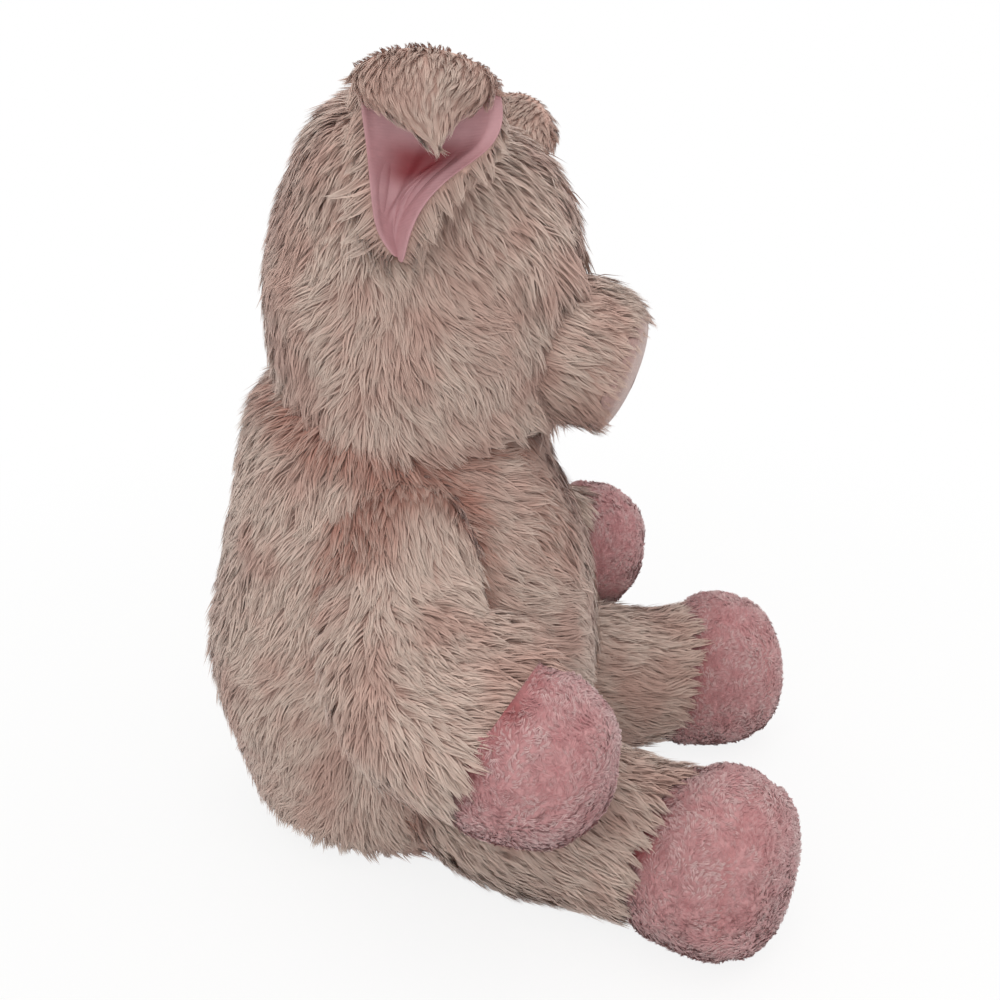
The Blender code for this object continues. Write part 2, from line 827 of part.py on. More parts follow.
def ear_grid(rise):
    """Rows of points across the ear, on a sheet that lies rise outside its back surface."""
    rows = []
    for up, out, wide, cup in ear_row_shares:
        row = []
        for share in ear_column_shares:
            row.append(
                Vector(
                    (
                        share * wide * EAR_WIDTH,
                        up * EAR_RISE,
                        out * EAR_REACH + share**2 * cup * EAR_CUP,
                    )
                )
            )
        rows.append(row)
    moved = []
    for number, row in enumerate(rows):
        before = rows[max(0, number - 1)]
        after = rows[min(len(rows) - 1, number + 1)]
        new_row = []
        for column, point in enumerate(row):
            along = after[column] - before[column]
            left = row[max(0, column - 1)]
            right = row[min(len(row) - 1, column + 1)]
            normal = (right - left).cross(along).normalized()
            new_row.append(point + normal * rise)
        moved.append(new_row)
    return moved


def ear_sheet(name, side, rise, thickness, material):
    """A sheet of the ear as a closed slab, from rise to its thickness above it."""
    grids = ear_grid(rise), ear_grid(rise + thickness)
    last_row = len(ear_row_shares) - 1
    last_column = len(ear_column_shares) - 1
    edge = [(0, column) for column in range(last_column)]
    edge += [(row, last_column) for row in range(last_row)]
    edge += [(last_row, column) for column in range(last_column, 0, -1)]
    edge += [(row, 0) for row in range(last_row, 0, -1)]

    def build(made):
        low, high = ([[made.verts.new(p) for p in row] for row in grid] for grid in grids)
        for sheet in (low, high):
            for near, far in zip(sheet, sheet[1:]):
                for column in range(last_column):
                    made.faces.new(
                        (near[column], near[column + 1], far[column + 1], far[column])
                    )
        for first, second in zip(edge, edge[1:] + edge[:1]):
            corners = (low, first), (low, second), (high, second), (high, first)
            made.faces.new([sheet[row][column] for sheet, (row, column) in corners])

    obj = smooth_form(add_object(name, mesh_from(build), material), 1)
    obj.matrix_world = ear_frame(side)
    return boolean(obj, SHARED["head_clearance"])


def make_ear(side_name, side):
    back = ear_sheet(f"ear_{side_name}_back", side, 0, EAR_FUR_THICKNESS, FUR)
    lining = ear_sheet(
        f"ear_{side_name}_lining",
        side,
        EAR_FUR_THICKNESS + SEAM_GAP,
        EAR_SATIN_THICKNESS,
        SATIN,
    )
    return [back, lining]


def make_head():
    outer = soft_form("head_outer", head_rows(), Y_AXIS, 10, 1)
    eyes, sockets, rooms = make_eyes()
    cuts = [SHARED["neck_dish"], SHARED["head_cavity"], *sockets]
    half = CROWN_WIDTH / 2
    left, inside_left = half_pair("crown_left", (half, 0, 0), X_AXIS)
    right, inside_right = half_pair("crown_right", (-half, 0, 0), -X_AXIS)
    crown = panel("head_crown", outer, FUR, (inside_left, inside_right), cuts)
    side_left = panel("head_side_left", outer, FUR, (left,), cuts)
    side_right = panel("head_side_right", outer, FUR, (right,), cuts)
    stuffing = soft_form(
        "head_stuffing",
        head_rows(),
        Y_AXIS,
        6,
        1,
        -FUR_THICKNESS - CORE_GAP,
        STUFFING,
    )
    boolean(stuffing, SHARED["neck_stuffing"])
    for room in rooms:
        boolean(stuffing, room)
    return [crown, side_left, side_right, stuffing, *eyes]


def make_limb(names, side_name, rows, across, seams, walls):
    """A limb's two fur panels, its hoof and the hoof's face, and one stuffing core.

    names are its panels', hoof's and face's. seams are the planes of the ankle, the
    face and the split between the panels. walls are the flat sides of skin, cavity
    and core."""
    limb, first_panel, second_panel, end, end_face = names
    name = f"{limb}_{side_name}"
    form = soft_form(f"{name}_form", rows, across, 8, 1)
    cavity = soft_form(f"{name}_cavity", rows, across, 6, 1, -VELOUR_THICKNESS)
    boolean(cavity, walls[1], "INTERSECT")
    hoof_side, sleeve_side = half_pair(f"{name}_ankle", *seams[0])
    face_side, wall_side = half_pair(f"{name}_face", *seams[1])
    first_side, second_side = half_pair(f"{name}_split", *seams[2])
    hoof = f"{end}_{side_name}"
    plan = (
        (f"{name}_{first_panel}", FUR, (sleeve_side, first_side)),
        (f"{name}_{second_panel}", FUR, (sleeve_side, second_side)),
        (f"{hoof}_cover", VELOUR, (hoof_side, wall_side)),
        (f"{hoof}_{end_face}", VELOUR, (face_side,)),
    )
    pieces = []
    for piece_name, material, keep in plan:
        pieces.append(
            panel(piece_name, form, material, (walls[0], *keep), (cavity,))
        )
    core = soft_form(
        f"{name}_stuffing", rows, across, 6, 1, -VELOUR_THICKNESS - CORE_GAP, STUFFING
    )
    boolean(core, walls[2], "INTERSECT")
    return [*pieces, core]


def make_leg(side_name, side):
    along = leg_direction(side)
    start = leg_start(side)
    seams = (
        (start + along * (ANKLE_SHARE * LEG_LENGTH), along),
        (start + along * (SOLE_SHARE * LEG_LENGTH), along),
        (hip(side), Z_AXIS),
    )
    inside = Vector((0, 0, VELOUR_THICKNESS))
    gap = Vector((0, 0, CORE_GAP))
    walls = (
        SHARED["floor"],
        half_space(f"leg_{side_name}_lining", inside, Z_AXIS),
        half_space(f"leg_{side_name}_core", inside + gap, Z_AXIS),
    )
    names = ("leg", "top", "under", "foot", "sole")
    return make_limb(names, side_name, leg_rows(side), Z_AXIS, seams, walls)


def make_arm(side_name, side):
    rows = arm_rows(side)
    outward = flank_normal(side)
    wrist_row, hand_row, tip = (Vector(rows[row][:3]) for row in (-4, -3, -1))
    along = (hand_row - wrist_row).normalized()
    seams = (
        (wrist_row.lerp(hand_row, WRIST_SHARE), along),
        (hand_row.lerp(tip, PALM_SHARE), along),
        (shoulder(side), outward),
    )
    inside = flank_point(side) + outward * (SEAM_GAP + VELOUR_THICKNESS)
    walls = (
        SHARED[f"arm_side_{side_name}"],
        half_space(f"arm_{side_name}_lining", inside, outward),
        half_space(f"arm_{side_name}_core", inside + outward * CORE_GAP, outward),
    )
    names = ("arm", "outer", "inner", "hand", "palm")
    return make_limb(names, side_name, rows, outward, seams, walls)


def main():
    make_shared()
    make_torso()
    neck_turn = empty("neck_turn", NECK_CENTRE)
    carry(neck_turn, neck_band("neck_seam", 0.0, THREAD))
    neck_nod = empty("neck_nod", NECK_CENTRE, neck_turn)
    carry(neck_nod, *make_head(), *make_snout())
    for side_name, side in SIDES.items():
        ear_root = ear_frame(side).translation
        ear_pivot = empty(f"ear_{side_name}_root", ear_root, neck_nod)
        carry(ear_pivot, *make_ear(side_name, side))
        arm_pivot = empty(f"shoulder_{side_name}", shoulder(side))
        carry(arm_pivot, *make_arm(side_name, side))
        leg_pivot = empty(f"hip_{side_name}", hip(side))
        carry(leg_pivot, *make_leg(side_name, side))


main()
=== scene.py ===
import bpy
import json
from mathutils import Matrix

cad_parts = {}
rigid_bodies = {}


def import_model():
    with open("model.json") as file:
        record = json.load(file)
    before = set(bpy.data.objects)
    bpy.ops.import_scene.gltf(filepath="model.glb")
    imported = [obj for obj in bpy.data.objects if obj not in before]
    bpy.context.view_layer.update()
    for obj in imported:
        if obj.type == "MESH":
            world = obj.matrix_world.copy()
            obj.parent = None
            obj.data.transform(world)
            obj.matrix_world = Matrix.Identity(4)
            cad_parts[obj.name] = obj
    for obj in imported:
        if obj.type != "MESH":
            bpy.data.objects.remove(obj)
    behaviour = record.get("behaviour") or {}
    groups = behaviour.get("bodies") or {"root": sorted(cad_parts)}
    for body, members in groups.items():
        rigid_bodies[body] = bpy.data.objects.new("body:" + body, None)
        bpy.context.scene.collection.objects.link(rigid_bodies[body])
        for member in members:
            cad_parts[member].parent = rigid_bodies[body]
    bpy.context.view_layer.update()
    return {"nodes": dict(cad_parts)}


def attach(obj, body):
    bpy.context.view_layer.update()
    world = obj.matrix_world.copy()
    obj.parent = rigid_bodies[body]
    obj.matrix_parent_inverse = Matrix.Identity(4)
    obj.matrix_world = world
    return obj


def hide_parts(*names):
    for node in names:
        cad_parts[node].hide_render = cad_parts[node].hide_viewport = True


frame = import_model()

import json
import math

import bmesh
import bpy
import numpy as np
from mathutils import Matrix, Vector, noise
from mathutils.bvhtree import BVHTree

MM = 0.001
FLOOR_GAP = 0.3 * MM

# Sizes that the part's source also has
SEAT_SINK = 5.0 * MM
SEAT_FLAT = 0.5 * MM
TORSO_HEIGHT = 209.0 * MM
TORSO_DEPTH = 154.0 * MM
TORSO_WIDTH = 140.0 * MM
TORSO_MIDDLE = 40.0 * MM
SIDE_SEAM_FORWARD = 14.0 * MM
HEAD_BASE = 150.0 * MM
HEAD_HEIGHT = 140.0 * MM
HEAD_DEPTH = 115.0 * MM
HEAD_WIDTH = 118.0 * MM
HEAD_MIDDLE = 31.0 * MM
CROWN_WIDTH = 44.0 * MM
SNOUT_REACH = 15.5 * MM
SNOUT_HEIGHT = 191.5 * MM
SNOUT_DROOP = math.radians(21.0)
SNOUT_TALL = 52.0 * MM
SNOUT_WIDE = 58.0 * MM
SNOUT_LENGTH = 34.0 * MM
SNOUT_BULGE = 5.0 * MM
NOSTRIL_SPACING = 17.0 * MM
NOSTRIL_TALL = 10.0 * MM
NOSTRIL_WIDE = 6.0 * MM
NOSTRIL_THICKNESS = 2.4 * MM
EAR_SIDE = 53.2 * MM
EAR_BACK = 23.0 * MM
EAR_HEIGHT = 244.0 * MM
EAR_RISE = 66.0 * MM
EAR_REACH = 32.0 * MM
EAR_WIDTH = 50.0 * MM
EAR_CUP = 10.0 * MM
EAR_FUR_THICKNESS = 5.0 * MM
EAR_TURN = math.radians(10.0)
EAR_FORWARD_LEAN = math.radians(5.0)
# How much slimmer and rounder each ear is at its fold.
EAR_SLIM = {-1: 0.0, 1: 0.15}
EAR_FLOPS = {-1: 0.0, 1: math.radians(38.0)}
FLANK_LEAN = math.radians(14.0)
SHOULDER_SIDE = 72.0 * MM
SHOULDER_BACK = 30.0 * MM
SHOULDER_HEIGHT = 141.0 * MM
ARM_LENGTH = 86.0 * MM
ARM_THICKNESS = 55.0 * MM
HAND_THICKNESS = 57.0 * MM
HIP_SIDE = 46.0 * MM
HIP_FORWARD = 2.0 * MM
LEG_TOE_OUT = math.radians(20.0)
LEG_LENGTH = 153.0 * MM
LEG_THICKNESS = 66.0 * MM
FOOT_THICKNESS = 67.0 * MM

# Height, shift to the back, half depth and half width, as shares of the form's sizes
TORSO_ROWS = (
    (0.030, 0.010, 0.350, 0.350),
    (0.140, 0.000, 0.455, 0.465),
    (0.340, 0.000, 0.500, 0.500),
    (0.560, 0.003, 0.472, 0.462),
    (0.740, 0.030, 0.405, 0.385),
    (0.885, 0.022, 0.300, 0.300),
)
HEAD_ROWS = (
    (0.100, -0.020, 0.390, 0.370),
    (0.235, 0.025, 0.478, 0.466),
    (0.415, 0.005, 0.500, 0.500),
    (0.615, -0.009, 0.492, 0.492),
    (0.800, -0.022, 0.433, 0.432),
    (0.925, -0.045, 0.300, 0.310),
)
# Place along the leg, half height and half width
LEG_ROWS = (
    (0.060, 0.350, 0.350),
    (0.230, 0.560, 0.490),
    (0.440, 0.530, 0.480),
    (0.640, 0.470, 0.450),
    (0.810, 0.505, 0.510),
    (0.945, 0.380, 0.380),
)
# Down the flank, forward, half width on the flank and half thickness
ARM_ROWS = (
    (-0.250, -0.020, 0.330, 0.330),
    (-0.020, 0.000, 0.490, 0.470),
    (0.260, 0.020, 0.560, 0.500),
    (0.460, 0.120, 0.620, 0.510),
    (0.600, 0.320, 0.640, 0.500),
    (0.740, 0.620, 0.540, 0.510),
    (0.810, 0.840, 0.370, 0.370),
)
# Up the ear, outward, half width, shift to the front, depth of the cup and arch of the
# corners, as shares of the ear's sizes
EAR_ROWS = (
    (-0.03, 0.03, 0.10, -0.11, 0.30, 0.00),
    (0.10, 0.06, 0.19, -0.16, 0.90, 0.00),
    (0.24, 0.07, 0.24, -0.14, 1.20, 0.00),
    (0.38, 0.12, 0.33, -0.07, 1.20, 0.00),
    (0.52, 0.19, 0.45, 0.04, 1.00, 0.00),
    (0.68, 0.27, 0.49, 0.05, 0.60, 0.00),
    (0.84, 0.34, 0.45, 0.02, 0.20, 0.03),
    (0.95, 0.45, 0.45, 0.01, -0.20, 0.09),
    (0.99, 0.63, 0.47, -0.01, -0.40, 0.13),
    (0.94, 0.82, 0.48, -0.02, -0.70, 0.16),
    (0.84, 0.93, 0.39, -0.05, -0.80, 0.13),
    (0.75, 0.98, 0.26, -0.03, -0.60, 0.06),
    (0.65, 1.00, 0.14, 0.02, -0.20, 0.00),
    (0.57, 1.01, 0.03, 0.07, 0.00, 0.00),
)
ARM_END_SHARE = 0.2
HALF_SHARE = 0.5
ANKLE_SHARE = 0.655
SOLE_SHARE = 0.90
WRIST_SHARE = 0.50
PALM_SHARE = 0.80

# The pile and the skin that it stands on
SKIN_DEPTH = 4.0 * MM
SNOUT_SKIN_DEPTH = 3.5 * MM
PILE_LENGTH = 13.0 * MM
NAP_LENGTH = 2.4 * MM
LOCK_SPACING = 2.33 * MM
EAR_LOCK_SPACING = 1.7 * MM
TUFT_SPACING = 1.2 * MM
LOCK_DENSITY_LIMIT = 1500000.0
SEED = 7
SOFT_SHARE = 0.92
# Reach of the painted shade in the creases between forms.
CREASE_SHADE_REACH = 8.0 * MM
ARM_TOP_SINK = 8.0 * MM
ARM_TOP_FLAT = 0.55
ARM_SINK_FROM_TO = (84 * MM, 150 * MM)
# Strength of the painted shade over the chest, under the head.
CHEST_SHADE = 0.95
BROW_BACK = -22 * MM
BROW_HEIGHT = 240 * MM
EYE_SIDE = 16 * MM
EYE_HEIGHT = 241 * MM
EYE_BARE_FROM_TO = (5.5 * MM, 8 * MM)
# Body, place back, place up, reach and height of each fuller spot under the pile.
BULGES = (
    ("head", 48 * MM, 290 * MM, 38 * MM, 8.5 * MM),
    ("head", 88 * MM, 230 * MM, 60 * MM, 3.5 * MM),
    ("head", -26 * MM, 246 * MM, 30 * MM, 3.0 * MM),
    ("torso", 120 * MM, 74 * MM, 75 * MM, 4.0 * MM),
)
SNOUT_FACE_SHARE = 0.91
FACE_BULGE = SNOUT_BULGE + 2.0 * MM
SNOUT_TOP_RISE = 4.0 * MM
NOSTRIL_SINK = 0.8 * MM
# The row of the ear where it folds and its fur parts.
EAR_RIDGE_ROW = 0.565
PLEAT_HEIGHT = 0.8 * MM
SLEEVE_END_SHRINK = 5.5 * MM
HOOF_FULLNESS = 0.5 * MM
HOOF_PINCH = 5.0 * MM
HOOF_PINCH_REACH = 15.0 * MM
# How far the seam of a hoof leans back at its lower side.
SEAM_LEAN = {"leg": 0.3, "arm": 0.18}
WRIST_SET_BACK = 4.0 * MM
BODY_SIDES = 10
LIMB_SIDES = 8
SKIN_LEVELS = 3
HOOF_LEVELS = 4

Y_AXIS = Vector((0, 1, 0))
Z_AXIS = Vector((0, 0, 1))
SIDES = {"right": -1, "left": 1}


# Camera and studio

CAMERA_PITCH = math.radians(20.0)
CAMERA_TURN = math.radians(8.0)
CAMERA_LENS = 50.4
CAMERA_AWAY = 514.0 * MM
CAMERA_BACK = 2.5 * MM
CAMERA_HEIGHT = 325.0 * MM
SKY_STRENGTH = 0.7
FLOOR_REACH = 4.0
FLOOR_GLOW = 0.86
GLOW_FROM_TO = (0.15, 0.6)
LAMP_AIM = (0.0, 0.0, 0.15)
# Name, place, size, energy and colour of each lamp.
LAMPS = (
    ("top_lamp", (-0.3, -0.1, 1.3), 1.2, 5.0, (1.0, 0.98, 0.95)),
    ("side_lamp", (-1.05, 0.1, 0.8), 0.9, 3.5, (1.0, 0.99, 0.97)),
    ("front_lamp", (0.75, -1.0, 0.6), 1.0, 2.2, (1.0, 0.99, 0.97)),
)


def add_object(name, data):
    made = bpy.data.objects.new(name, data)
    bpy.context.scene.collection.objects.link(made)
    return made


def aim(obj, place, facing):
    """Puts a camera or a lamp at a place, looking along facing."""
    turn = facing.to_track_quat("-Z", "Y").to_matrix().to_4x4()
    obj.matrix_world = Matrix.Translation(place) @ turn


def add_camera():
    data = bpy.data.cameras.new("photo_camera")
    data.sensor_width = 36.0
    data.lens = CAMERA_LENS
    data.clip_start = 0.02
    data.clip_end = 20.0
    camera = add_object("photo_camera", data)
    side, ahead = math.cos(CAMERA_TURN), math.sin(CAMERA_TURN)
    level = math.cos(CAMERA_PITCH)
    facing = Vector((side * level, ahead * level, -math.sin(CAMERA_PITCH)))
    back = CAMERA_BACK - CAMERA_AWAY * ahead
    aim(camera, Vector((-CAMERA_AWAY * side, back, CAMERA_HEIGHT)), facing)
    bpy.context.scene.camera = camera


def new_tree(owner):
    owner.use_nodes = True
    tree = owner.node_tree
    tree.nodes.clear()
    return tree


def new_material(name):
    made = bpy.data.materials.new(name)
    return made, new_tree(made)


def add_node(tree, kind, feeds=None, **settings):
    """A node with its settings, and its inputs fed by name or number."""
    made = tree.nodes.new(kind)
    for name, value in settings.items():
        setattr(made, name, value)
    for key, value in (feeds or {}).items():
        feed(tree, made.inputs[key], value)
    return made


def maths(tree, operation, first, second):
    feeds = {0: first, 1: second}
    return add_node(tree, "ShaderNodeMath", feeds, operation=operation).outputs[0]


def eased(tree, value, low, high, floor=0.0, ceiling=1.0):
    """Goes smoothly from floor to ceiling while the value goes from low to high."""
    feeds = {"Value": value, "From Min": low, "From Max": high}
    feeds |= {"To Min": floor, "To Max": ceiling}
    node = add_node(tree, "ShaderNodeMapRange", feeds, interpolation_type="SMOOTHSTEP")
    return node.outputs[0]


def new_group(name, kind, sockets, result):
    """A node group with its sockets, and the values given to it."""
    tree = bpy.data.node_groups.new(name, kind)
    for socket, form in sockets:
        tree.interface.new_socket(socket, in_out="INPUT", socket_type=f"NodeSocket{form}")
    socket, form = result
    tree.interface.new_socket(socket, in_out="OUTPUT", socket_type=f"NodeSocket{form}")
    return tree, add_node(tree, "NodeGroupInput").outputs


def feed(tree, socket, value):
    """Links a socket, or sets a plain value on it."""
    if isinstance(value, bpy.types.NodeSocket):
        tree.links.new(value, socket)
    else:
        socket.default_value = value


def add_area_lamp(name, place, size, energy, colour):
    data = bpy.data.lights.new(name, "AREA")
    data.shape = "DISK"
    data.size = size
    data.energy = energy
    data.color = colour
    aim(add_object(name, data), Vector(place), Vector(LAMP_AIM) - Vector(place))


def seen_directly(tree):
    """One where a camera, glossy or transmission ray looks, and zero for the light itself."""
    path = add_node(tree, "ShaderNodeLightPath").outputs
    seen = maths(tree, "MAXIMUM", path["Is Camera Ray"], path["Is Glossy Ray"])
    return maths(tree, "MAXIMUM", seen, path["Is Transmission Ray"])


def add_studio():
    """Soft light from all round, a white ground that glows where it is looked at, and lamps."""
    scene = bpy.context.scene
    scene.view_settings.view_transform = "Standard"
    scene.world = bpy.data.worlds.new("studio")
    tree = new_tree(scene.world)
    feeds = {"Color": (1.0, 0.985, 0.97, 1.0), "Strength": SKY_STRENGTH}
    light = add_node(tree, "ShaderNodeBackground", feeds)
    feeds = {"Color": (1.0, 1.0, 1.0, 1.0), "Strength": 1.0}
    white = add_node(tree, "ShaderNodeBackground", feeds)
    feeds = {0: seen_directly(tree), 1: light.outputs[0], 2: white.outputs[0]}
    mixed = add_node(tree, "ShaderNodeMixShader", feeds)
    add_node(tree, "ShaderNodeOutputWorld", {"Surface": mixed.outputs[0]})

    made = bmesh.new()
    bmesh.ops.create_grid(made, x_segments=1, y_segments=1, size=FLOOR_REACH)
    floor = add_object("floor", as_mesh(made, "floor"))
    paper, tree = new_material("floor_paper")
    matt = add_node(tree, "ShaderNodeBsdfDiffuse", {"Color": (0.9, 0.9, 0.9, 1.0)})
    glow = add_node(tree, "ShaderNodeEmission", {"Strength": 1.0})
    place = add_node(tree, "ShaderNodeTexCoord").outputs["Object"]
    away = add_node(tree, "ShaderNodeVectorMath", {0: place}, operation="LENGTH")
    far = eased(tree, away.outputs["Value"], *GLOW_FROM_TO, FLOOR_GLOW, 1.0)
    share = maths(tree, "MULTIPLY", seen_directly(tree), far)
    feeds = {0: share, 1: matt.outputs[0], 2: glow.outputs[0]}
    mixed = add_node(tree, "ShaderNodeMixShader", feeds)
    add_node(tree, "ShaderNodeOutputMaterial", {"Surface": mixed.outputs[0]})
    floor.data.materials.append(paper)
    for lamp in LAMPS:
        add_area_lamp(*lamp)


# Forms, lofted through the same rows as the part's

def through_rows(rows):
    """Cage rows whose smoothed surface passes through the rows given."""
    blend = np.eye(len(rows))
    for row in range(1, len(rows) - 1):
        blend[row, row - 1 : row + 2] = (1 / 6, 4 / 6, 1 / 6)
    return np.linalg.solve(blend, rows)


def grown(rows, grow):
    """Rows of the surface that lies grow outside that of the rows given."""
    moved = rows.copy()
    for number in range(1, len(rows) - 1):
        before, after = rows[number - 1], rows[number + 1]
        path = after[:3] - before[:3]
        length = np.linalg.norm(path)
        slope = (after[3:].mean() - before[3:].mean()) / length
        tilt = math.hypot(1, slope)
        moved[number, :3] -= path / length * (grow * slope / tilt)
        moved[number, 3:] += grow / tilt
    for end, inner in ((0, 1), (-1, -2)):
        outward = rows[end, :3] - rows[inner, :3]
        moved[end, :3] += grow * outward / np.linalg.norm(outward)
    return moved


def shown_mesh(holder):
    """The mesh that an object shows with its modifiers. The object itself goes."""
    bpy.context.view_layer.update()
    graph = bpy.context.evaluated_depsgraph_get()
    made = bpy.data.meshes.new_from_object(
        holder.evaluated_get(graph), preserve_all_data_layers=True, depsgraph=graph
    )
    bpy.data.objects.remove(holder)
    return made


def as_mesh(made, name):
    """The mesh of a bmesh, which is freed."""
    mesh = bpy.data.meshes.new(name)
    made.to_mesh(mesh)
    made.free()
    return mesh


def smoothed(mesh, levels):
    """The mesh after a number of rounds of Subdivision Surface."""
    holder = add_object("holder", mesh)
    smoothing = holder.modifiers.new("smooth", "SUBSURF")
    smoothing.levels = levels
    smoothing.render_levels = levels
    return shown_mesh(holder)


def join_rings(made, rings, poles):
    """Faces from ring to ring, and a pole at each end."""
    count = len(rings[0])
    for near, far in zip(rings, rings[1:]):
        for step in range(count):
            after = (step + 1) % count
            made.faces.new((near[step], near[after], far[after], far[step]))
    for ring, place in zip((rings[0], rings[-1]), poles):
        pole = made.verts.new(place)
        for step in range(count):
            made.faces.new((ring[step], ring[(step + 1) % count], pole))
    bmesh.ops.recalc_face_normals(made, faces=made.faces)


def soft_form(rows, across, sides, levels, grow=0.0):
    """A closed swelling form through rows of its middle, half thickness along across,
    and half thickness square to it."""
    rows = through_rows(grown(np.array(rows, float), grow))
    middles = [Vector(row[:3]) for row in rows]
    swell = 3 / (2 + math.cos(math.tau / sides))
    made = bmesh.new()
    rings = []
    for number in range(1, len(rows) - 1):
        tangent = middles[number + 1] - middles[number - 1]
        side = tangent.cross(across).normalized()
        deep = side.cross(tangent).normalized()
        half_deep, half_side = rows[number, 3:] * swell
        ring = []
        for step in range(sides):
            turn = math.tau * (step + 0.5) / sides
            place = middles[number] + deep * half_deep * math.sin(turn)
            place += side * half_side * math.cos(turn)
            ring.append(made.verts.new(place))
        rings.append(ring)
    join_rings(made, rings, (middles[0], middles[-1]))
    return smoothed(as_mesh(made, "form"), levels)


def torso_rows():
    rows = [(0, TORSO_MIDDLE, -SEAT_SINK, 0, 0)]
    for height, shift, deep, wide in TORSO_ROWS:
        middle = TORSO_MIDDLE + shift * TORSO_DEPTH
        rows.append(
            (0, middle, height * TORSO_HEIGHT, deep * TORSO_DEPTH, wide * TORSO_WIDTH)
        )
    rows.append((0, TORSO_MIDDLE, TORSO_HEIGHT, 0, 0))
    return rows


def head_rows():
    rows = [(0, HEAD_MIDDLE, HEAD_BASE, 0, 0)]
    for height, shift, deep, wide in HEAD_ROWS:
        middle = HEAD_MIDDLE + shift * HEAD_DEPTH
        level = HEAD_BASE + height * HEAD_HEIGHT
        rows.append((0, middle, level, deep * HEAD_DEPTH, wide * HEAD_WIDTH))
    rows.append((0, middle, HEAD_BASE + HEAD_HEIGHT, 0, 0))
    return rows


def leg_direction(side):
    return Vector((side * math.sin(LEG_TOE_OUT), -math.cos(LEG_TOE_OUT), 0))


def hip(side):
    half_height = LEG_ROWS[1][1] * LEG_THICKNESS
    return Vector((side * HIP_SIDE, -HIP_FORWARD, half_height - SEAT_FLAT))


def leg_start(side):
    return hip(side) - leg_direction(side) * (LEG_ROWS[1][0] * LEG_LENGTH)


def leg_rows(side):
    start = leg_start(side)
    along = leg_direction(side)
    rows = [(*start, 0, 0)]
    for number, (place, tall, wide) in enumerate(LEG_ROWS):
        thickness = FOOT_THICKNESS if place > ANKLE_SHARE else LEG_THICKNESS
        middle = start + along * (place * LEG_LENGTH)
        if number > 0:
            middle.z = max(tall, HALF_SHARE) * thickness - SEAT_FLAT
        rows.append((*middle, tall * thickness, wide * thickness))
    toe = start + along * LEG_LENGTH
    toe.z = FOOT_THICKNESS / 2 - SEAT_FLAT
    rows.append((*toe, 0, 0))
    return rows


def flank_normal(side):
    return Vector((side * math.cos(FLANK_LEAN), 0, math.sin(FLANK_LEAN)))


def flank_down(side):
    return Vector((side * math.sin(FLANK_LEAN), 0, -math.cos(FLANK_LEAN)))


def shoulder(side):
    return Vector((side * SHOULDER_SIDE, SHOULDER_BACK, SHOULDER_HEIGHT))


def arm_rows(side):
    down = flank_down(side)
    rows = []
    for lower, forward, flat, thick in ARM_ROWS:
        thickness = HAND_THICKNESS if forward > WRIST_SHARE else ARM_THICKNESS
        middle = shoulder(side) + down * (lower * ARM_LENGTH)
        middle.y -= forward * ARM_LENGTH
        middle += flank_normal(side) * (max(0.0, lower) * ARM_THICKNESS / 4)
        rows.append((*middle, thick * thickness, flat * thickness))
    first, last = Vector(rows[0][:3]), Vector(rows[-1][:3])
    top = first - down * (ARM_END_SHARE * ARM_THICKNESS)
    tip = last + (last - Vector(rows[-2][:3])).normalized() * (
        ARM_END_SHARE * HAND_THICKNESS
    )
    return [(*top, 0, 0), *rows, (*tip, 0, 0)]


# Mesh helpers

def points_of(mesh):
    """Places and normals of a mesh's points, as two tables."""
    places = np.empty(len(mesh.vertices) * 3, np.float32)
    mesh.vertices.foreach_get("co", places)
    normals = np.empty(len(mesh.vertices) * 3, np.float32)
    mesh.vertex_normals.foreach_get("vector", normals)
    return places.reshape(-1, 3).astype(float), normals.reshape(-1, 3).astype(float)


def move_points(mesh, places):
    mesh.vertices.foreach_set("co", places.astype(np.float32).ravel())
    mesh.update()


def store(mesh, name, values, kind="FLOAT"):
    """Keeps a number or a vector for each point under a name."""
    attribute = mesh.attributes.new(name, kind, "POINT")
    key = "vector" if kind == "FLOAT_VECTOR" else "value"
    attribute.data.foreach_set(key, np.asarray(values, np.float32).ravel())


def stored(mesh, name):
    values = np.empty(len(mesh.vertices), np.float32)
    mesh.attributes[name].data.foreach_get("value", values)
    return values.astype(float)


def drop_attributes(mesh, *names):
    for name in names:
        mesh.attributes.remove(mesh.attributes[name])


def lie_on_floor(mesh):
    places, _ = points_of(mesh)
    places[:, 2] = np.maximum(places[:, 2], FLOOR_GAP)
    move_points(mesh, places)


def part_of(mesh, keep):
    """A copy of a mesh with only the faces whose middle the function keeps."""
    made = bmesh.new()
    made.from_mesh(mesh)
    gone = [face for face in made.faces if not keep(face.calc_center_median())]
    bmesh.ops.delete(made, geom=gone, context="FACES")
    return as_mesh(made, "part")


def cut_off(mesh, point, normal):
    """The closed part of a mesh on the side of a plane that its normal points to."""
    made = bmesh.new()
    made.from_mesh(mesh)
    geometry = [*made.verts, *made.edges, *made.faces]
    cut = bmesh.ops.bisect_plane(
        made, geom=geometry, plane_co=point, plane_no=normal, clear_inner=True
    )
    edges = [item for item in cut["geom_cut"] if isinstance(item, bmesh.types.BMEdge)]
    bmesh.ops.holes_fill(made, edges=edges)
    bmesh.ops.triangulate(
        made, faces=[face for face in made.faces if len(face.verts) > 4]
    )
    return as_mesh(made, "part")


def add_piece(name, mesh, material, body, nodes=()):
    """A shown piece that stands for CAD nodes, takes its finish from a slot and rides on
    a body."""
    obj = add_object(name, mesh)
    mesh.name = name
    mesh.materials.clear()
    mesh.materials.append(material)
    mesh.shade_smooth()
    if nodes:
        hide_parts(*nodes)
    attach(obj, body)


def unit(vectors):
    lengths = np.linalg.norm(vectors, axis=1, keepdims=True)
    return vectors / np.maximum(lengths, 1e-9)


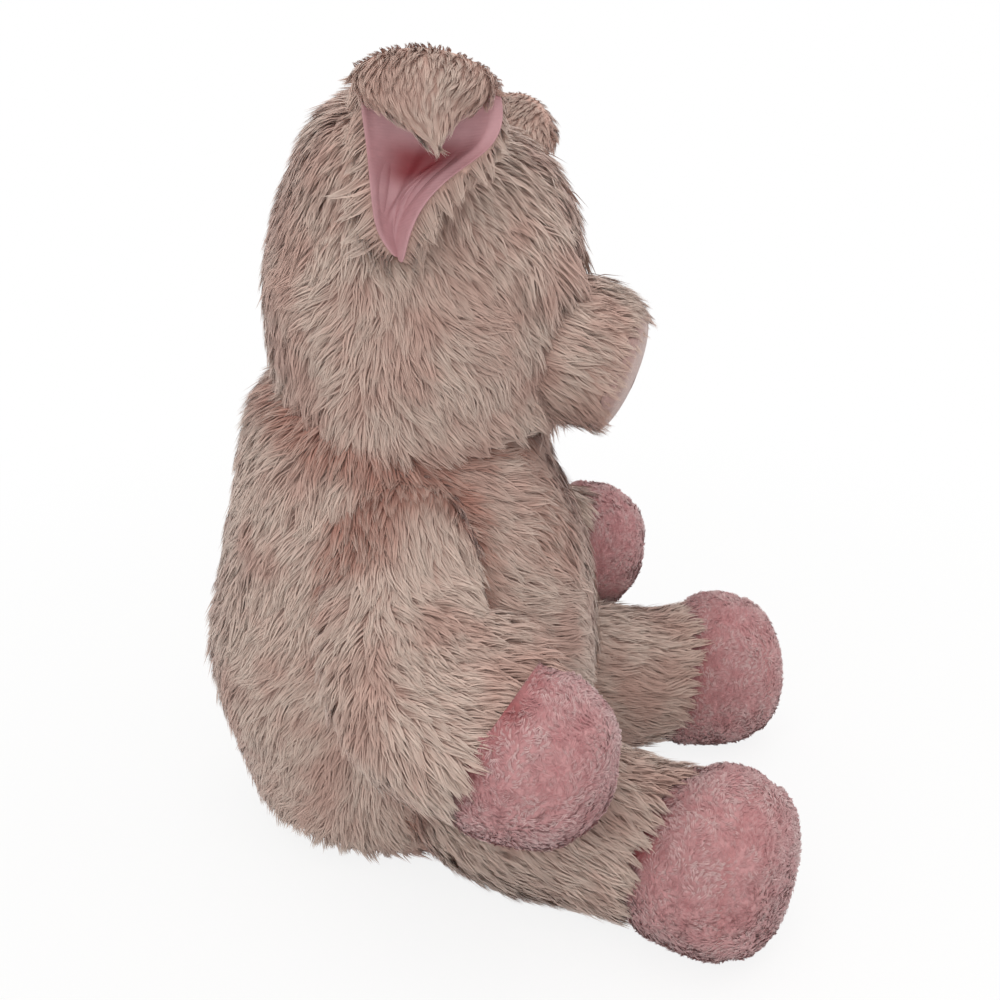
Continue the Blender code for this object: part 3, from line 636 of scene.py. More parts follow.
def wander(places, scale, seed):
    """Smooth values from -1 to 1 over space, for uneven pile."""
    shift = Vector((seed * 3.7, seed * 1.3, seed * 2.1))
    return np.array([noise.noise(Vector(place) / scale + shift) for place in places])


def turned_about(vectors, axes, angles):
    """Each vector turned about its own axis."""
    c = np.cos(angles)[:, None]
    s = np.sin(angles)[:, None]
    along = np.sum(vectors * axes, axis=1, keepdims=True)
    return vectors * c + np.cross(axes, vectors) * s + axes * along * (1 - c)


# The pile: locks of curved strands, strewn over a skin by Geometry Nodes

def lock_mesh(seed, heights, strands, spread, gather, width):
    """A lock of curved tapering strands, one long, that leans over to its own +Y."""
    table = np.random.default_rng(seed)
    points = []
    faces = []
    along = []
    shades = []
    curl = table.uniform(-0.09, 0.09)
    curl_phase = table.uniform(0, math.tau)
    for _ in range(strands):
        turn = table.uniform(0, math.tau)
        reach = spread * math.sqrt(table.uniform(0, 1))
        root = np.array((reach * math.cos(turn), reach * math.sin(turn), 0.0))
        tip = root * gather + np.array((*table.normal(0, 0.02, 2), 0.0))
        length = table.uniform(0.72, 1.06)
        face_turn = table.uniform(-0.7, 0.7)
        wave = curl + table.uniform(-0.03, 0.03)
        phase = curl_phase + table.uniform(-0.6, 0.6)
        shade = table.uniform(0, 1)
        lean_start = math.radians(table.uniform(50, 64))
        lean_end = math.radians(table.uniform(88, 104))
        first = len(points)
        for height in heights:
            lean = lean_start + (lean_end - lean_start) * height / 2
            rise = height * length * math.cos(lean)
            run = height * length * math.sin(lean)
            middle = root + (tip - root) * height + np.array((0.0, run, rise))
            middle[0] += wave * math.sin(phase + height * 4.2) * height
            half = width * (1 - height**3) / 2
            if height == 1.0:
                points.append(middle)
                along.append(height)
                shades.append(shade)
                continue
            edge = np.array((math.cos(face_turn), 0.0, math.sin(face_turn))) * half
            points += [middle - edge, middle + edge]
            along += [height, height]
            shades += [shade, shade]
        for row in range(len(heights) - 2):
            low = first + row * 2
            faces.append((low, low + 1, low + 3, low + 2))
        low = first + (len(heights) - 2) * 2
        faces.append((low, low + 1, low + 2))
    mesh = bpy.data.meshes.new("lock")
    mesh.from_pydata([tuple(point) for point in points], [], faces)
    mesh.shade_smooth()
    store(mesh, "along", along)
    store(mesh, "strand", shades)
    return mesh


def lock_collection(name, count, heights, strands, spread, gather, width):
    made = bpy.data.collections.new(name)
    bpy.context.scene.collection.children.link(made)
    for number in range(count):
        mesh = lock_mesh(SEED + number, heights, strands, spread, gather, width)
        lock = bpy.data.objects.new(f"{name}_{number}", mesh)
        made.objects.link(lock)
        lock.hide_render = True
    return made


def pile_tree():
    """Strews locks over a skin, leaning the way that its comb attribute points."""
    sockets = (
        ("Skin", "Geometry"),
        ("Locks", "Collection"),
        ("Spacing", "Float"),
        ("Length", "Float"),
        ("Unruly Turn", "Float"),
        ("Unruly Lift", "Float"),
        ("Seed", "Int"),
        ("Finish", "Material"),
    )
    result = ("Pile", "Geometry")
    tree, given = new_group("strewn_pile", "GeometryNodeTree", sockets, result)

    def named(name, kind):
        feeds = {"Name": name}
        node = add_node(tree, "GeometryNodeInputNamedAttribute", feeds, data_type=kind)
        return node.outputs["Attribute"]

    def kept(geometry, name, value, kind, domain):
        feeds = {"Geometry": geometry, "Name": name, "Value": value}
        node = add_node(
            tree, "GeometryNodeStoreNamedAttribute", feeds, data_type=kind, domain=domain
        )
        return node.outputs["Geometry"]

    def chance(low, high, shift):
        seed = maths(tree, "ADD", given["Seed"], shift)
        feeds = {2: low, 3: high, "Seed": seed}
        node = add_node(tree, "FunctionNodeRandomValue", feeds, data_type="FLOAT")
        return node.outputs[1]

    def product(first, second):
        return maths(tree, "MULTIPLY", first, second)

    feeds = {"Mesh": given["Skin"], "Distance Min": given["Spacing"]}
    feeds |= {"Density Max": LOCK_DENSITY_LIMIT, "Seed": given["Seed"]}
    strewn = add_node(
        tree, "GeometryNodeDistributePointsOnFaces", feeds, distribute_method="POISSON"
    ).outputs
    normal = strewn["Normal"]
    points = kept(strewn["Points"], "skin_normal", normal, "FLOAT_VECTOR", "POINT")
    align = "FunctionNodeAlignRotationToVector"
    upright = add_node(tree, align, {"Vector": normal}, axis="Z")
    feeds = {"Rotation": upright.outputs[0], "Vector": named("comb", "FLOAT_VECTOR")}
    combed = add_node(tree, align, feeds, axis="Y", pivot_axis="Z")
    lift = given["Unruly Lift"]
    feeds = {
        "X": product(lift, chance(-1.0, 1.0, 11)),
        "Y": product(lift, chance(-1.0, 1.0, 12)),
        "Z": product(given["Unruly Turn"], chance(-1.0, 1.0, 13)),
    }
    turns = add_node(tree, "ShaderNodeCombineXYZ", feeds)
    as_turn = add_node(tree, "FunctionNodeEulerToRotation", {0: turns.outputs[0]})
    feeds = {"Rotation": combed.outputs[0], "Rotate By": as_turn.outputs[0]}
    unruly = add_node(tree, "FunctionNodeRotateRotation", feeds, rotation_space="LOCAL")

    lengths = product(named("pile", "FLOAT"), chance(0.72, 1.12, 14))
    feeds = {"Collection": given["Locks"], "Separate Children": True, "Reset Children": True}
    locks = add_node(tree, "GeometryNodeCollectionInfo", feeds)
    feeds = {
        "Points": points,
        "Instance": locks.outputs[0],
        "Pick Instance": True,
        "Rotation": unruly.outputs[0],
        "Scale": product(given["Length"], lengths),
    }
    placed = add_node(tree, "GeometryNodeInstanceOnPoints", feeds)
    toned = kept(placed.outputs[0], "tone", chance(0.0, 1.0, 15), "FLOAT", "INSTANCE")
    realized = add_node(tree, "GeometryNodeRealizeInstances", {0: toned})
    feeds = {"Geometry": realized.outputs[0], "Material": given["Finish"]}
    finished = add_node(tree, "GeometryNodeSetMaterial", feeds)
    add_node(tree, "NodeGroupOutput", {0: finished.outputs[0]})
    return tree


def soften_normals(mesh):
    """Turns each strand's normals most of the way to those of the skin under it, so
    that the coat shades as one soft surface."""
    _, own = points_of(mesh)
    skin = np.empty(len(mesh.vertices) * 3, np.float32)
    mesh.attributes["skin_normal"].data.foreach_get("vector", skin)
    soft = unit(own * (1 - SOFT_SHARE) + skin.reshape(-1, 3) * SOFT_SHARE)
    mesh.normals_split_custom_set_from_vertices(soft.tolist())
    drop_attributes(mesh, "skin_normal", "comb", "pile")


def grow_pile(name, skin, locks, material, spacing, length, swing, lift):
    """Runs the pile tree on a skin and gives the strands as a plain mesh."""
    holder = add_object("holder", skin)
    strewn = holder.modifiers.new("pile", "NODES")
    strewn.node_group = PILE_TREE
    values = {
        "Locks": locks,
        "Spacing": spacing,
        "Length": length,
        "Unruly Turn": swing,
        "Unruly Lift": lift,
        "Seed": SEED,
        "Finish": material,
    }
    for item in PILE_TREE.interface.items_tree:
        if item.in_out == "INPUT" and item.name in values:
            strewn[item.identifier] = values[item.name]
    mesh = shown_mesh(holder)
    lie_on_floor(mesh)
    soften_normals(mesh)
    mesh.name = name
    return mesh


def comb_skin(mesh, direction, pile, sway, seed):
    """Stores the comb direction and relative pile length at each point of a skin."""
    places, normals = points_of(mesh)
    flow = direction(places, normals)
    flow = flow - normals * np.sum(flow * normals, axis=1, keepdims=True)
    angles = sway * (
        wander(places, 28 * MM, seed) * 1.2 + wander(places, 11 * MM, seed + 5) * 1.1
    )
    flow = turned_about(unit(flow), normals, angles)
    uneven = 1 + 0.2 * wander(places, 16 * MM, seed + 9)
    store(mesh, "comb", flow, "FLOAT_VECTOR")
    store(mesh, "pile", pile(places) * uneven)


def crease_shade_share(mesh, others):
    """How deep in the creases against other forms each point lies, from 0 to 1, as the share of
    painted shade there.
    """
    places, _ = points_of(mesh)
    nearest = np.full(len(places), 1.0)
    for other in others:
        corners = [vert.co for vert in other.vertices]
        tree = BVHTree.FromPolygons(corners, [face.vertices for face in other.polygons])
        away = np.array([tree.find_nearest(Vector(place))[3] for place in places])
        nearest = np.minimum(nearest, away)
    return 1 - step_between(nearest, 0.3 * CREASE_SHADE_REACH, CREASE_SHADE_REACH)


# Finishes

def srgb(red, green, blue):
    """A colour from its 8-bit screen values."""
    linear = []
    for value in (red, green, blue):
        share = value / 255
        if share <= 0.04045:
            linear.append(share / 12.92)
        else:
            linear.append(((share + 0.055) / 1.055) ** 2.4)
    return (*linear, 1.0)


def patchy_group():
    """Uneven tone over a cloth: a broad drift and a fine one, as one factor round 1."""
    sockets = [(name, "Float") for name in ("Broad Scale", "Fine Scale", "Strength")]
    result = ("Factor", "Float")
    group, given = new_group("patchy_tone", "ShaderNodeTree", sockets, result)
    place = add_node(group, "ShaderNodeTexCoord").outputs["Object"]
    drifts = []
    for scale, detail in (("Broad Scale", 2.0), ("Fine Scale", 3.0)):
        feeds = {"Vector": place, "Scale": given[scale], "Detail": detail}
        drifts.append(add_node(group, "ShaderNodeTexNoise", feeds).outputs["Fac"])
    centred = maths(group, "SUBTRACT", maths(group, "ADD", *drifts), 1.0)
    scaled = maths(group, "MULTIPLY", centred, given["Strength"])
    add_node(group, "NodeGroupOutput", {"Factor": maths(group, "ADD", scaled, 1.0)})
    return group


def attribute(tree, name):
    return add_node(tree, "ShaderNodeAttribute", attribute_name=name).outputs["Fac"]


def mixed_colour(tree, factor, first, second):
    feeds = {0: factor, 6: first, 7: second}
    return add_node(tree, "ShaderNodeMix", feeds, data_type="RGBA").outputs[2]


def patchy(tree, broad, fine, strength):
    feeds = {"Broad Scale": broad, "Fine Scale": fine, "Strength": strength}
    return add_node(tree, "ShaderNodeGroup", feeds, node_tree=PATCHY).outputs["Factor"]


def times(tree, colour, factor):
    feeds = {0: colour[:3] if isinstance(colour, tuple) else colour, "Scale": factor}
    return add_node(tree, "ShaderNodeVectorMath", feeds, operation="SCALE").outputs[0]


def relief(tree, kind, feeds, distance, strength, **settings):
    """The bumps of a texture over a piece, as a normal."""
    place = add_node(tree, "ShaderNodeTexCoord").outputs["Object"]
    texture = add_node(tree, kind, {"Vector": place, **feeds}, **settings)
    feeds = {"Height": texture.outputs["Fac"], "Distance": distance, "Strength": strength}
    return add_node(tree, "ShaderNodeBump", feeds).outputs[0]


def finish_shader(tree, colour, roughness, sheen, sheen_roughness, specular, normal=None):
    feeds = {
        "Base Color": colour,
        "Roughness": roughness,
        "Specular IOR Level": specular,
        "Sheen Weight": sheen,
        "Sheen Roughness": sheen_roughness,
    }
    shader = add_node(tree, "ShaderNodeBsdfPrincipled", feeds)
    if normal is not None:
        feed(tree, shader.inputs["Normal"], normal)
    add_node(tree, "ShaderNodeOutputMaterial", {"Surface": shader.outputs[0]})


def pile_material(name, root, middle, tip, patch, crease, drifts):
    """Pile that pales from its roots to its tips and drifts to another tone in patches,
    each lock a little different, with painted shade in the crease colour over the crease
    attribute, strongest at the roots; on the nap that attribute also holds its darker seams."""
    made, tree = new_material(name)
    along = attribute(tree, "along")
    colour = mixed_colour(tree, eased(tree, along, 0.05, 0.55), root, middle)
    colour = mixed_colour(tree, eased(tree, along, 0.45, 1.0), colour, tip)
    drift = patchy(tree, *drifts, 1.0)
    colour = mixed_colour(tree, eased(tree, drift, 0.85, 1.25, 0.0, 0.8), colour, patch)
    # Painted shade: the crease colour where the crease attribute is high, less toward the tips.
    deep = eased(tree, attribute(tree, "crease"), 0.1, 1.0, 0.0, 0.85)
    deep = maths(tree, "MULTIPLY", deep, eased(tree, along, 0.3, 1.0, 1.0, 0.35))
    colour = mixed_colour(tree, deep, colour, crease)
    tone = eased(tree, attribute(tree, "tone"), 0.0, 1.0, 0.94, 1.05)
    strand = eased(tree, attribute(tree, "strand"), 0.0, 1.0, 0.94, 1.06)
    colour = times(tree, colour, maths(tree, "MULTIPLY", tone, strand))
    finish_shader(tree, colour, 0.72, 0.3, 0.5, 0.25)
    return made


def skin_material(name, colour):
    """The backing cloth under the pile."""
    made, tree = new_material(name)
    shade = times(tree, colour, patchy(tree, 40.0, 400.0, 0.4))
    finish_shader(tree, shade, 0.95, 0.0, 0.5, 0.1)
    return made


def velour_material(name, colour, dark):
    """Short mottled pile, darker along its seams and with painted shade in the ankle's
    pinch, both through the seam attribute.
    """
    made, tree = new_material(name)
    base = mixed_colour(tree, attribute(tree, "seam"), colour, dark)
    shade = times(tree, base, patchy(tree, 45.0, 420.0, 0.5))
    fine = {"Scale": 900.0, "Detail": 3.0}
    nap = relief(tree, "ShaderNodeTexNoise", fine, 0.8 * MM, 0.8)
    finish_shader(tree, shade, 0.8, 0.5, 0.4, 0.2, nap)
    return made


def satin_material(name, colour, deep):
    """Woven satin with a soft shine, and painted shade, darker and redder, under the ear's
    fold.
    """
    made, tree = new_material(name)
    base = mixed_colour(tree, attribute(tree, "seam"), colour, deep)
    shade = times(tree, base, patchy(tree, 50.0, 300.0, 0.2))
    weave = relief(
        tree,
        "ShaderNodeTexWave",
        {"Scale": 700.0},
        0.1 * MM,
        0.4,
        wave_type="BANDS",
        bands_direction="Z",
    )
    finish_shader(tree, shade, 0.45, 0.2, 0.3, 0.4, weave)
    return made


def plastic_material(name, colour, roughness):
    made, tree = new_material(name)
    shade = times(tree, colour, patchy(tree, 120.0, 900.0, 0.1))
    finish_shader(tree, shade, roughness, 0.0, 0.5, 0.5)
    return made


PATCHY = patchy_group()
PILE_TREE = pile_tree()
# The fur's crease colour is painted shade, for the creases and the chest.
FUR = pile_material(
    "fur",
    root=srgb(202, 170, 158),
    middle=srgb(202, 178, 166),
    tip=srgb(214, 196, 184),
    patch=srgb(192, 156, 144),
    crease=srgb(164, 112, 98),
    drifts=(20.0, 60.0),
)
SKIN = skin_material("fur_backing", srgb(204, 172, 160))
# The velour's second colour darkens its seams and is painted shade in the ankle's pinch.
VELOUR = velour_material("velour", srgb(186, 138, 139), srgb(140, 66, 68))
# The nap's crease colour is a darker seam and painted shade at the ankle.
NAP = pile_material(
    "velour_nap",
    root=srgb(186, 140, 141),
    middle=srgb(198, 160, 160),
    tip=srgb(210, 184, 182),
    patch=srgb(184, 122, 125),
    crease=srgb(150, 74, 76),
    drifts=(42.0, 170.0),
)
# The satin's second colour is painted shade under the ear's fold.
SATIN = satin_material("satin", srgb(187, 142, 147), srgb(126, 38, 45))
DISC = velour_material("snout_face", srgb(182, 156, 150), srgb(150, 112, 108))
THREAD = skin_material("thread", srgb(120, 74, 70))
EYE = plastic_material("eye", srgb(22, 18, 18), 0.12)
WASHER = plastic_material("washer", srgb(210, 208, 200), 0.5)

LOCKS = lock_collection(
    "long_lock",
    count=8,
    heights=(0.0, 0.55, 1.0),
    strands=17,
    spread=0.2,
    gather=0.3,
    width=0.038,
)
TUFTS = lock_collection(
    "short_tuft",
    count=6,
    heights=(0.0, 0.6, 1.0),
    strands=7,
    spread=0.35,
    gather=0.8,
    width=0.17,
)


# Skins and their fur

def everywhere(values):
    """The same vector at every point."""
    def direction(places, normals):
        return np.tile(np.array(values, float), (len(places), 1))

    return direction


def step_between(value, low, high):
    share = np.clip((value - low) / (high - low), 0, 1)
    return share * share * (3 - 2 * share)


def grow_fur(name, scalp, body, *nodes):
    """Long pile on a part of a skin, in place of the panels sewn there."""
    mesh = grow_pile(
        name, scalp, LOCKS, FUR, LOCK_SPACING, PILE_LENGTH, swing=0.22, lift=0.09
    )
    add_piece(name, mesh, FUR, body, nodes)


def sew_panels(body, skin, panels):
    """Fur on a skin, in parts for the panels that the function of each one keeps."""
    for node, keep in panels:
        grow_fur(f"{node}_fur", part_of(skin, keep), body, node)


def make_skins():
    """The soft forms under the pile, by body, each with painted shade in its creases,
    and on the torso over the chest under the head.
    """
    skins = {
        "torso": soft_form(torso_rows(), Y_AXIS, BODY_SIDES, SKIN_LEVELS, -SKIN_DEPTH),
        "head": soft_form(head_rows(), Y_AXIS, BODY_SIDES, SKIN_LEVELS, -SKIN_DEPTH),
    }
    for name, side in SIDES.items():
        outward = flank_normal(side)
        grow = -SKIN_DEPTH + 1 * MM
        arm = soft_form(arm_rows(side), outward, LIMB_SIDES, SKIN_LEVELS, grow)
        places, _ = points_of(arm)
        top = step_between(places[:, 2], *ARM_SINK_FROM_TO)
        away = (places - np.array(shoulder(side))) @ np.array(outward)
        away += ARM_THICKNESS / 2
        sunk = top * (ARM_TOP_SINK + ARM_TOP_FLAT * away)
        move_points(arm, places - np.array(outward) * sunk[:, None])
        skins[f"arm_{name}"] = arm
        leg = soft_form(leg_rows(side), Z_AXIS, LIMB_SIDES, SKIN_LEVELS, grow)
        skins[f"leg_{name}"] = leg
    for body, back, up, reach, height in BULGES:
        places, normals = points_of(skins[body])
        away = np.hypot(places[:, 1] - back, places[:, 2] - up)
        raised = (1 - step_between(away, 0, reach)) * height
        move_points(skins[body], places + normals * raised[:, None])
    for skin in skins.values():
        lie_on_floor(skin)
    for body, skin in skins.items():
        others = [other for name, other in skins.items() if name != body]
        # Painted shade in the creases against the other forms, and over the chest, kept as the
        # crease attribute.
        deep = crease_shade_share(skin, others)
        if body == "torso":
            places, _ = points_of(skin)
            chest = step_between(-places[:, 1], -10 * MM, 25 * MM)
            chest *= step_between(places[:, 2], 90 * MM, 150 * MM)
            deep = np.maximum(deep, CHEST_SHADE * chest)
        store(skin, "crease", deep)
    return skins


# Torso

def torso_comb(places, normals):
    """Down and back on the back, forward over the chest and belly."""
    front = step_between(-places[:, 1], -62 * MM, -8 * MM)
    flow = np.zeros_like(places)
    flow[:, 2] = -0.86 + 0.52 * front
    flow[:, 1] = 0.34 - 1.25 * front
    return flow


def torso_pile(places):
    return 1.0 + 0.12 * step_between(places[:, 2], 60 * MM, 150 * MM)


def make_torso(skins):
    skin = skins["torso"]
    comb_skin(skin, torso_comb, torso_pile, sway=0.5, seed=1)
    add_piece("body_skin", skin, SKIN, "torso", ["body_stuffing"])
    panels = (
        ("body_front", lambda c: c.y < SIDE_SEAM_FORWARD),
        ("body_back_left", lambda c: c.y >= SIDE_SEAM_FORWARD and c.x > 0),
        ("body_back_right", lambda c: c.y >= SIDE_SEAM_FORWARD and c.x <= 0),
    )
    sew_panels("torso", skin, panels)


# Head

def head_comb(places, normals):
    """Down and back behind the ears, down and forward over the cheeks and face."""
    front = step_between(-places[:, 1], -62 * MM, 5 * MM)
    flow = np.zeros_like(places)
    flow[:, 2] = -0.95 + 0.3 * front
    flow[:, 1] = 0.3 - 1.05 * front
    return flow


def head_pile(places):
    """Shorter on the crown, longer at the chin and the brows, and bare over the eyes."""
    aside = np.abs(places[:, 0])
    top = step_between(places[:, 2], 205 * MM, 255 * MM)
    face = step_between(-places[:, 1], 0, 22 * MM)
    chin = face * (1 - step_between(places[:, 2], 180 * MM, 200 * MM))
    from_brow = np.hypot(places[:, 1] - BROW_BACK, places[:, 2] - BROW_HEIGHT)
    brow = 1 - step_between(from_brow, 8 * MM, 20 * MM)
    brow *= step_between(aside, 17 * MM, 21 * MM)
    from_eye = np.hypot(aside - EYE_SIDE, places[:, 2] - EYE_HEIGHT)
    bare = 1 - step_between(from_eye, *EYE_BARE_FROM_TO)
    bare *= step_between(-places[:, 1], 0, 5 * MM)
    bare *= 1 - step_between(aside, 19 * MM, 21 * MM)
    coat = 0.98 - 0.1 * top * (1 - face) + 0.12 * face + 0.25 * chin + 0.65 * brow
    return coat * (1 - 0.75 * bare)


def make_head(skins):
    skin = skins["head"]
    comb_skin(skin, head_comb, head_pile, sway=0.55, seed=2)
    add_piece("head_skin", skin, SKIN, "head", ["head_stuffing"])
    half = CROWN_WIDTH / 2
    panels = (
        ("head_crown", lambda c: abs(c.x) < half),
        ("head_side_left", lambda c: c.x >= half),
        ("head_side_right", lambda c: c.x <= -half),
    )
    sew_panels("head", skin, panels)


def snout_frame():
    facing = Vector((0, -math.cos(SNOUT_DROOP), -math.sin(SNOUT_DROOP)))
    forward = HEAD_DEPTH / 2 - HEAD_MIDDLE + SNOUT_REACH
    centre = Vector((0, -forward, SNOUT_HEIGHT))
    up = Vector((0, -math.sin(SNOUT_DROOP), math.cos(SNOUT_DROOP)))
    turn = Matrix((up.cross(facing), up, facing)).transposed().to_4x4()
    return Matrix.Translation(centre) @ turn


def oval_body(profile, around):
    """A closed body through a profile of radius shares and depths, oval as the snout."""
    made = bmesh.new()
    rings = []
    for radius, depth in profile[1:-1]:
        ring = []
        for step in range(around):
            turn = math.tau * step / around
            wide = radius * SNOUT_WIDE / 2 * math.cos(turn)
            tall = radius * SNOUT_TALL / 2 * math.sin(turn)
            ring.append(made.verts.new((wide, tall, depth)))
        rings.append(ring)
    join_rings(made, rings, [(0, 0, depth) for _, depth in (profile[0], profile[-1])])
    made.transform(snout_frame())
    return as_mesh(made, "oval")


def make_snout():
    turn = snout_frame().inverted()

    def in_snout(places):
        return np.array([turn @ Vector(place) for place in places])

    def pile(places):
        depths = in_snout(places)[:, 2]
        root = 1 - step_between(depths, -27 * MM, -12 * MM)
        return 0.75 + 0.35 * root - 0.2 * step_between(depths, -9 * MM, -2 * MM)

    inset = 1 - SNOUT_SKIN_DEPTH / (SNOUT_TALL / 2)
    depths = np.linspace(-1.0 * MM, -SNOUT_LENGTH, 12)
    profile = [(0, depths[0]), *((inset, depth) for depth in depths), (0, depths[-1])]
    skin = oval_body(profile, around=48)
    places, normals = points_of(skin)
    upper = step_between(normals[:, 2], 0.1, 0.9)
    upper *= 1 - 0.5 * step_between(in_snout(places)[:, 2], -12 * MM, 0)
    move_points(skin, places + normals * (upper * SNOUT_TOP_RISE)[:, None])
    forward = tuple(snout_frame().to_3x3() @ Z_AXIS)
    comb_skin(skin, everywhere(forward), pile, sway=0.35, seed=3)
    add_piece("snout_skin", skin, SKIN, "head", ["snout_stuffing"])
    scalp = part_of(skin, lambda c: -29 * MM < (turn @ c).z < -1.5 * MM)
    grow_fur("snout_fur", scalp, "head", "snout_band")

    steps = np.linspace(0.0, 1.0, 24)
    face = [(share, FACE_BULGE * math.sqrt(max(0.0, 1 - share**2))) for share in steps]
    rim = [(1.0, -0.6 * MM), (0.985, -2.2 * MM), (0.93, -3.0 * MM), (0, -3.0 * MM)]
    profile = [(share * SNOUT_FACE_SHARE, depth) for share, depth in [*face, *rim]]
    disc = oval_body(profile, around=96)
    local = in_snout(points_of(disc)[0])
    radius = np.hypot(local[:, 0] / (SNOUT_WIDE / 2), local[:, 1] / (SNOUT_TALL / 2))
    store(disc, "seam", step_between(radius / SNOUT_FACE_SHARE, 0.9, 1.0) * 0.4)
    add_piece("snout_face", disc, DISC, "head", ["snout_disc"])


def make_nostril(side_name, side):
    aside = side * NOSTRIL_SPACING / 2
    level = FACE_BULGE * math.sqrt(1 - (aside / (SNOUT_WIDE / 2)) ** 2)
    made = bmesh.new()
    bmesh.ops.create_icosphere(made, subdivisions=4, radius=1)
    for vert in made.verts:
        vert.co.x = aside + vert.co.x * NOSTRIL_WIDE / 2
        vert.co.y *= NOSTRIL_TALL / 2
        vert.co.z = level - NOSTRIL_SINK + vert.co.z * NOSTRIL_THICKNESS / 3
    made.transform(snout_frame())
    mesh = as_mesh(made, "nostril")
    nodes = [f"nostril_{side_name}"]
    add_piece(f"nostril_{side_name}_patch", mesh, THREAD, "head", nodes)


# Ears

def ear_frame(side):
    place = Vector((side * EAR_SIDE, EAR_BACK, EAR_HEIGHT))
    outward = Vector((side * math.cos(EAR_TURN), -math.sin(EAR_TURN), 0))
    across = Z_AXIS.cross(outward)
    lean = Matrix.Rotation(side * EAR_FORWARD_LEAN, 3, outward)
    flop = Matrix.Rotation(EAR_FLOPS[side], 3, across)
    turn = flop @ lean
    axes = Matrix((turn @ across, turn @ Z_AXIS, turn @ outward)).transposed()
    return Matrix.Translation(place) @ axes.to_4x4()


def ear_points(side, rise, columns):
    """Rows of points across the ear, on a sheet that lies rise outside its back surface."""
    rows = []
    for number, (up, out, wide, shift, cup, arch) in enumerate(EAR_ROWS):
        slim = EAR_SLIM[side] * step_between(number, 4, 7) * (1 - step_between(number, 9, 13))
        wide *= 1 - slim
        arch += slim
        row = []
        for share in columns:
            across = (share * wide + shift) * EAR_WIDTH
            depth = out * EAR_REACH + share**2 * cup * EAR_CUP
            height = (up - share**2 * arch) * EAR_RISE
            row.append(Vector((across, height, depth)))
        rows.append(row)
    moved = []
    for number, row in enumerate(rows):
        before = rows[max(0, number - 1)]
        after = rows[min(len(rows) - 1, number + 1)]
        new_row = []
        for column, point in enumerate(row):
            along = after[column] - before[column]
            left = row[max(0, column - 1)]
            right = row[min(len(row) - 1, column + 1)]
            normal = (right - left).cross(along).normalized()
            new_row.append(point + normal * rise)
        moved.append(new_row)
    return moved


def ear_sheet(side, rise, thickness, levels, width=1.0):
    """A closed slab of the ear, from rise to its thickness above it. Each point keeps
    its place on the sheet as the attributes row, column and layer."""
    columns = [width * share for share in (-1.0, -0.7, -0.36, 0.0, 0.36, 0.7, 1.0)]
    grids = [ear_points(side, level, columns) for level in (rise, rise + thickness)]
    last_row = len(EAR_ROWS) - 1
    last_column = len(columns) - 1
    edge = [(0, column) for column in range(last_column)]
    edge += [(row, last_column) for row in range(last_row)]
    edge += [(last_row, column) for column in range(last_column, 0, -1)]
    edge += [(row, 0) for row in range(last_row, 0, -1)]
    made = bmesh.new()
    low, high = ([[made.verts.new(p) for p in row] for row in grid] for grid in grids)
    for sheet in (low, high):
        for near, far in zip(sheet, sheet[1:]):
            for column in range(last_column):
                made.faces.new(
                    (near[column], near[column + 1], far[column + 1], far[column])
                )
    for first, second in zip(edge, edge[1:] + edge[:1]):
        corners = (low, first), (low, second), (high, second), (high, first)
        made.faces.new([sheet[row][column] for sheet, (row, column) in corners])
    bmesh.ops.recalc_face_normals(made, faces=made.faces)
    made.transform(ear_frame(side))
    mesh = as_mesh(made, "ear")
    count = len(EAR_ROWS) * len(columns)
    rows = np.repeat(np.arange(len(EAR_ROWS)) / last_row, len(columns))
    store(mesh, "row", np.tile(rows, 2))
    store(mesh, "column", np.tile(columns, 2 * len(EAR_ROWS)))
    store(mesh, "layer", np.repeat((0.0, 1.0), count))
    return smoothed(mesh, levels)


def ear_comb(side, rows, columns):
    """Down both ways from the fold: over the back of the ear, and to its flap's tip."""
    middles = np.array([tuple(row[0]) for row in ear_points(side, 0, (0.0,))])
    steps = np.gradient(middles, axis=0)
    turn = np.array(ear_frame(side).to_3x3())
    heights = np.arange(len(EAR_ROWS)) / (len(EAR_ROWS) - 1)
    local = np.stack(
        [np.interp(rows, heights, steps[:, axis]) for axis in range(3)], axis=1
    )
    uneven = rows + 0.01 * np.sin(columns * 7.0 + side) + 0.006 * np.sin(columns * 17.0)
    local = unit(local) * (2 * step_between(uneven, 0.555, 0.575) - 1)[:, None]
    flap = step_between(rows, 0.66, 0.78)
    local[:, 0] += columns * (0.9 * np.abs(columns) * (1 - flap) - 1.2 * flap)

    def direction(places, normals):
        return local @ turn.T

    return direction


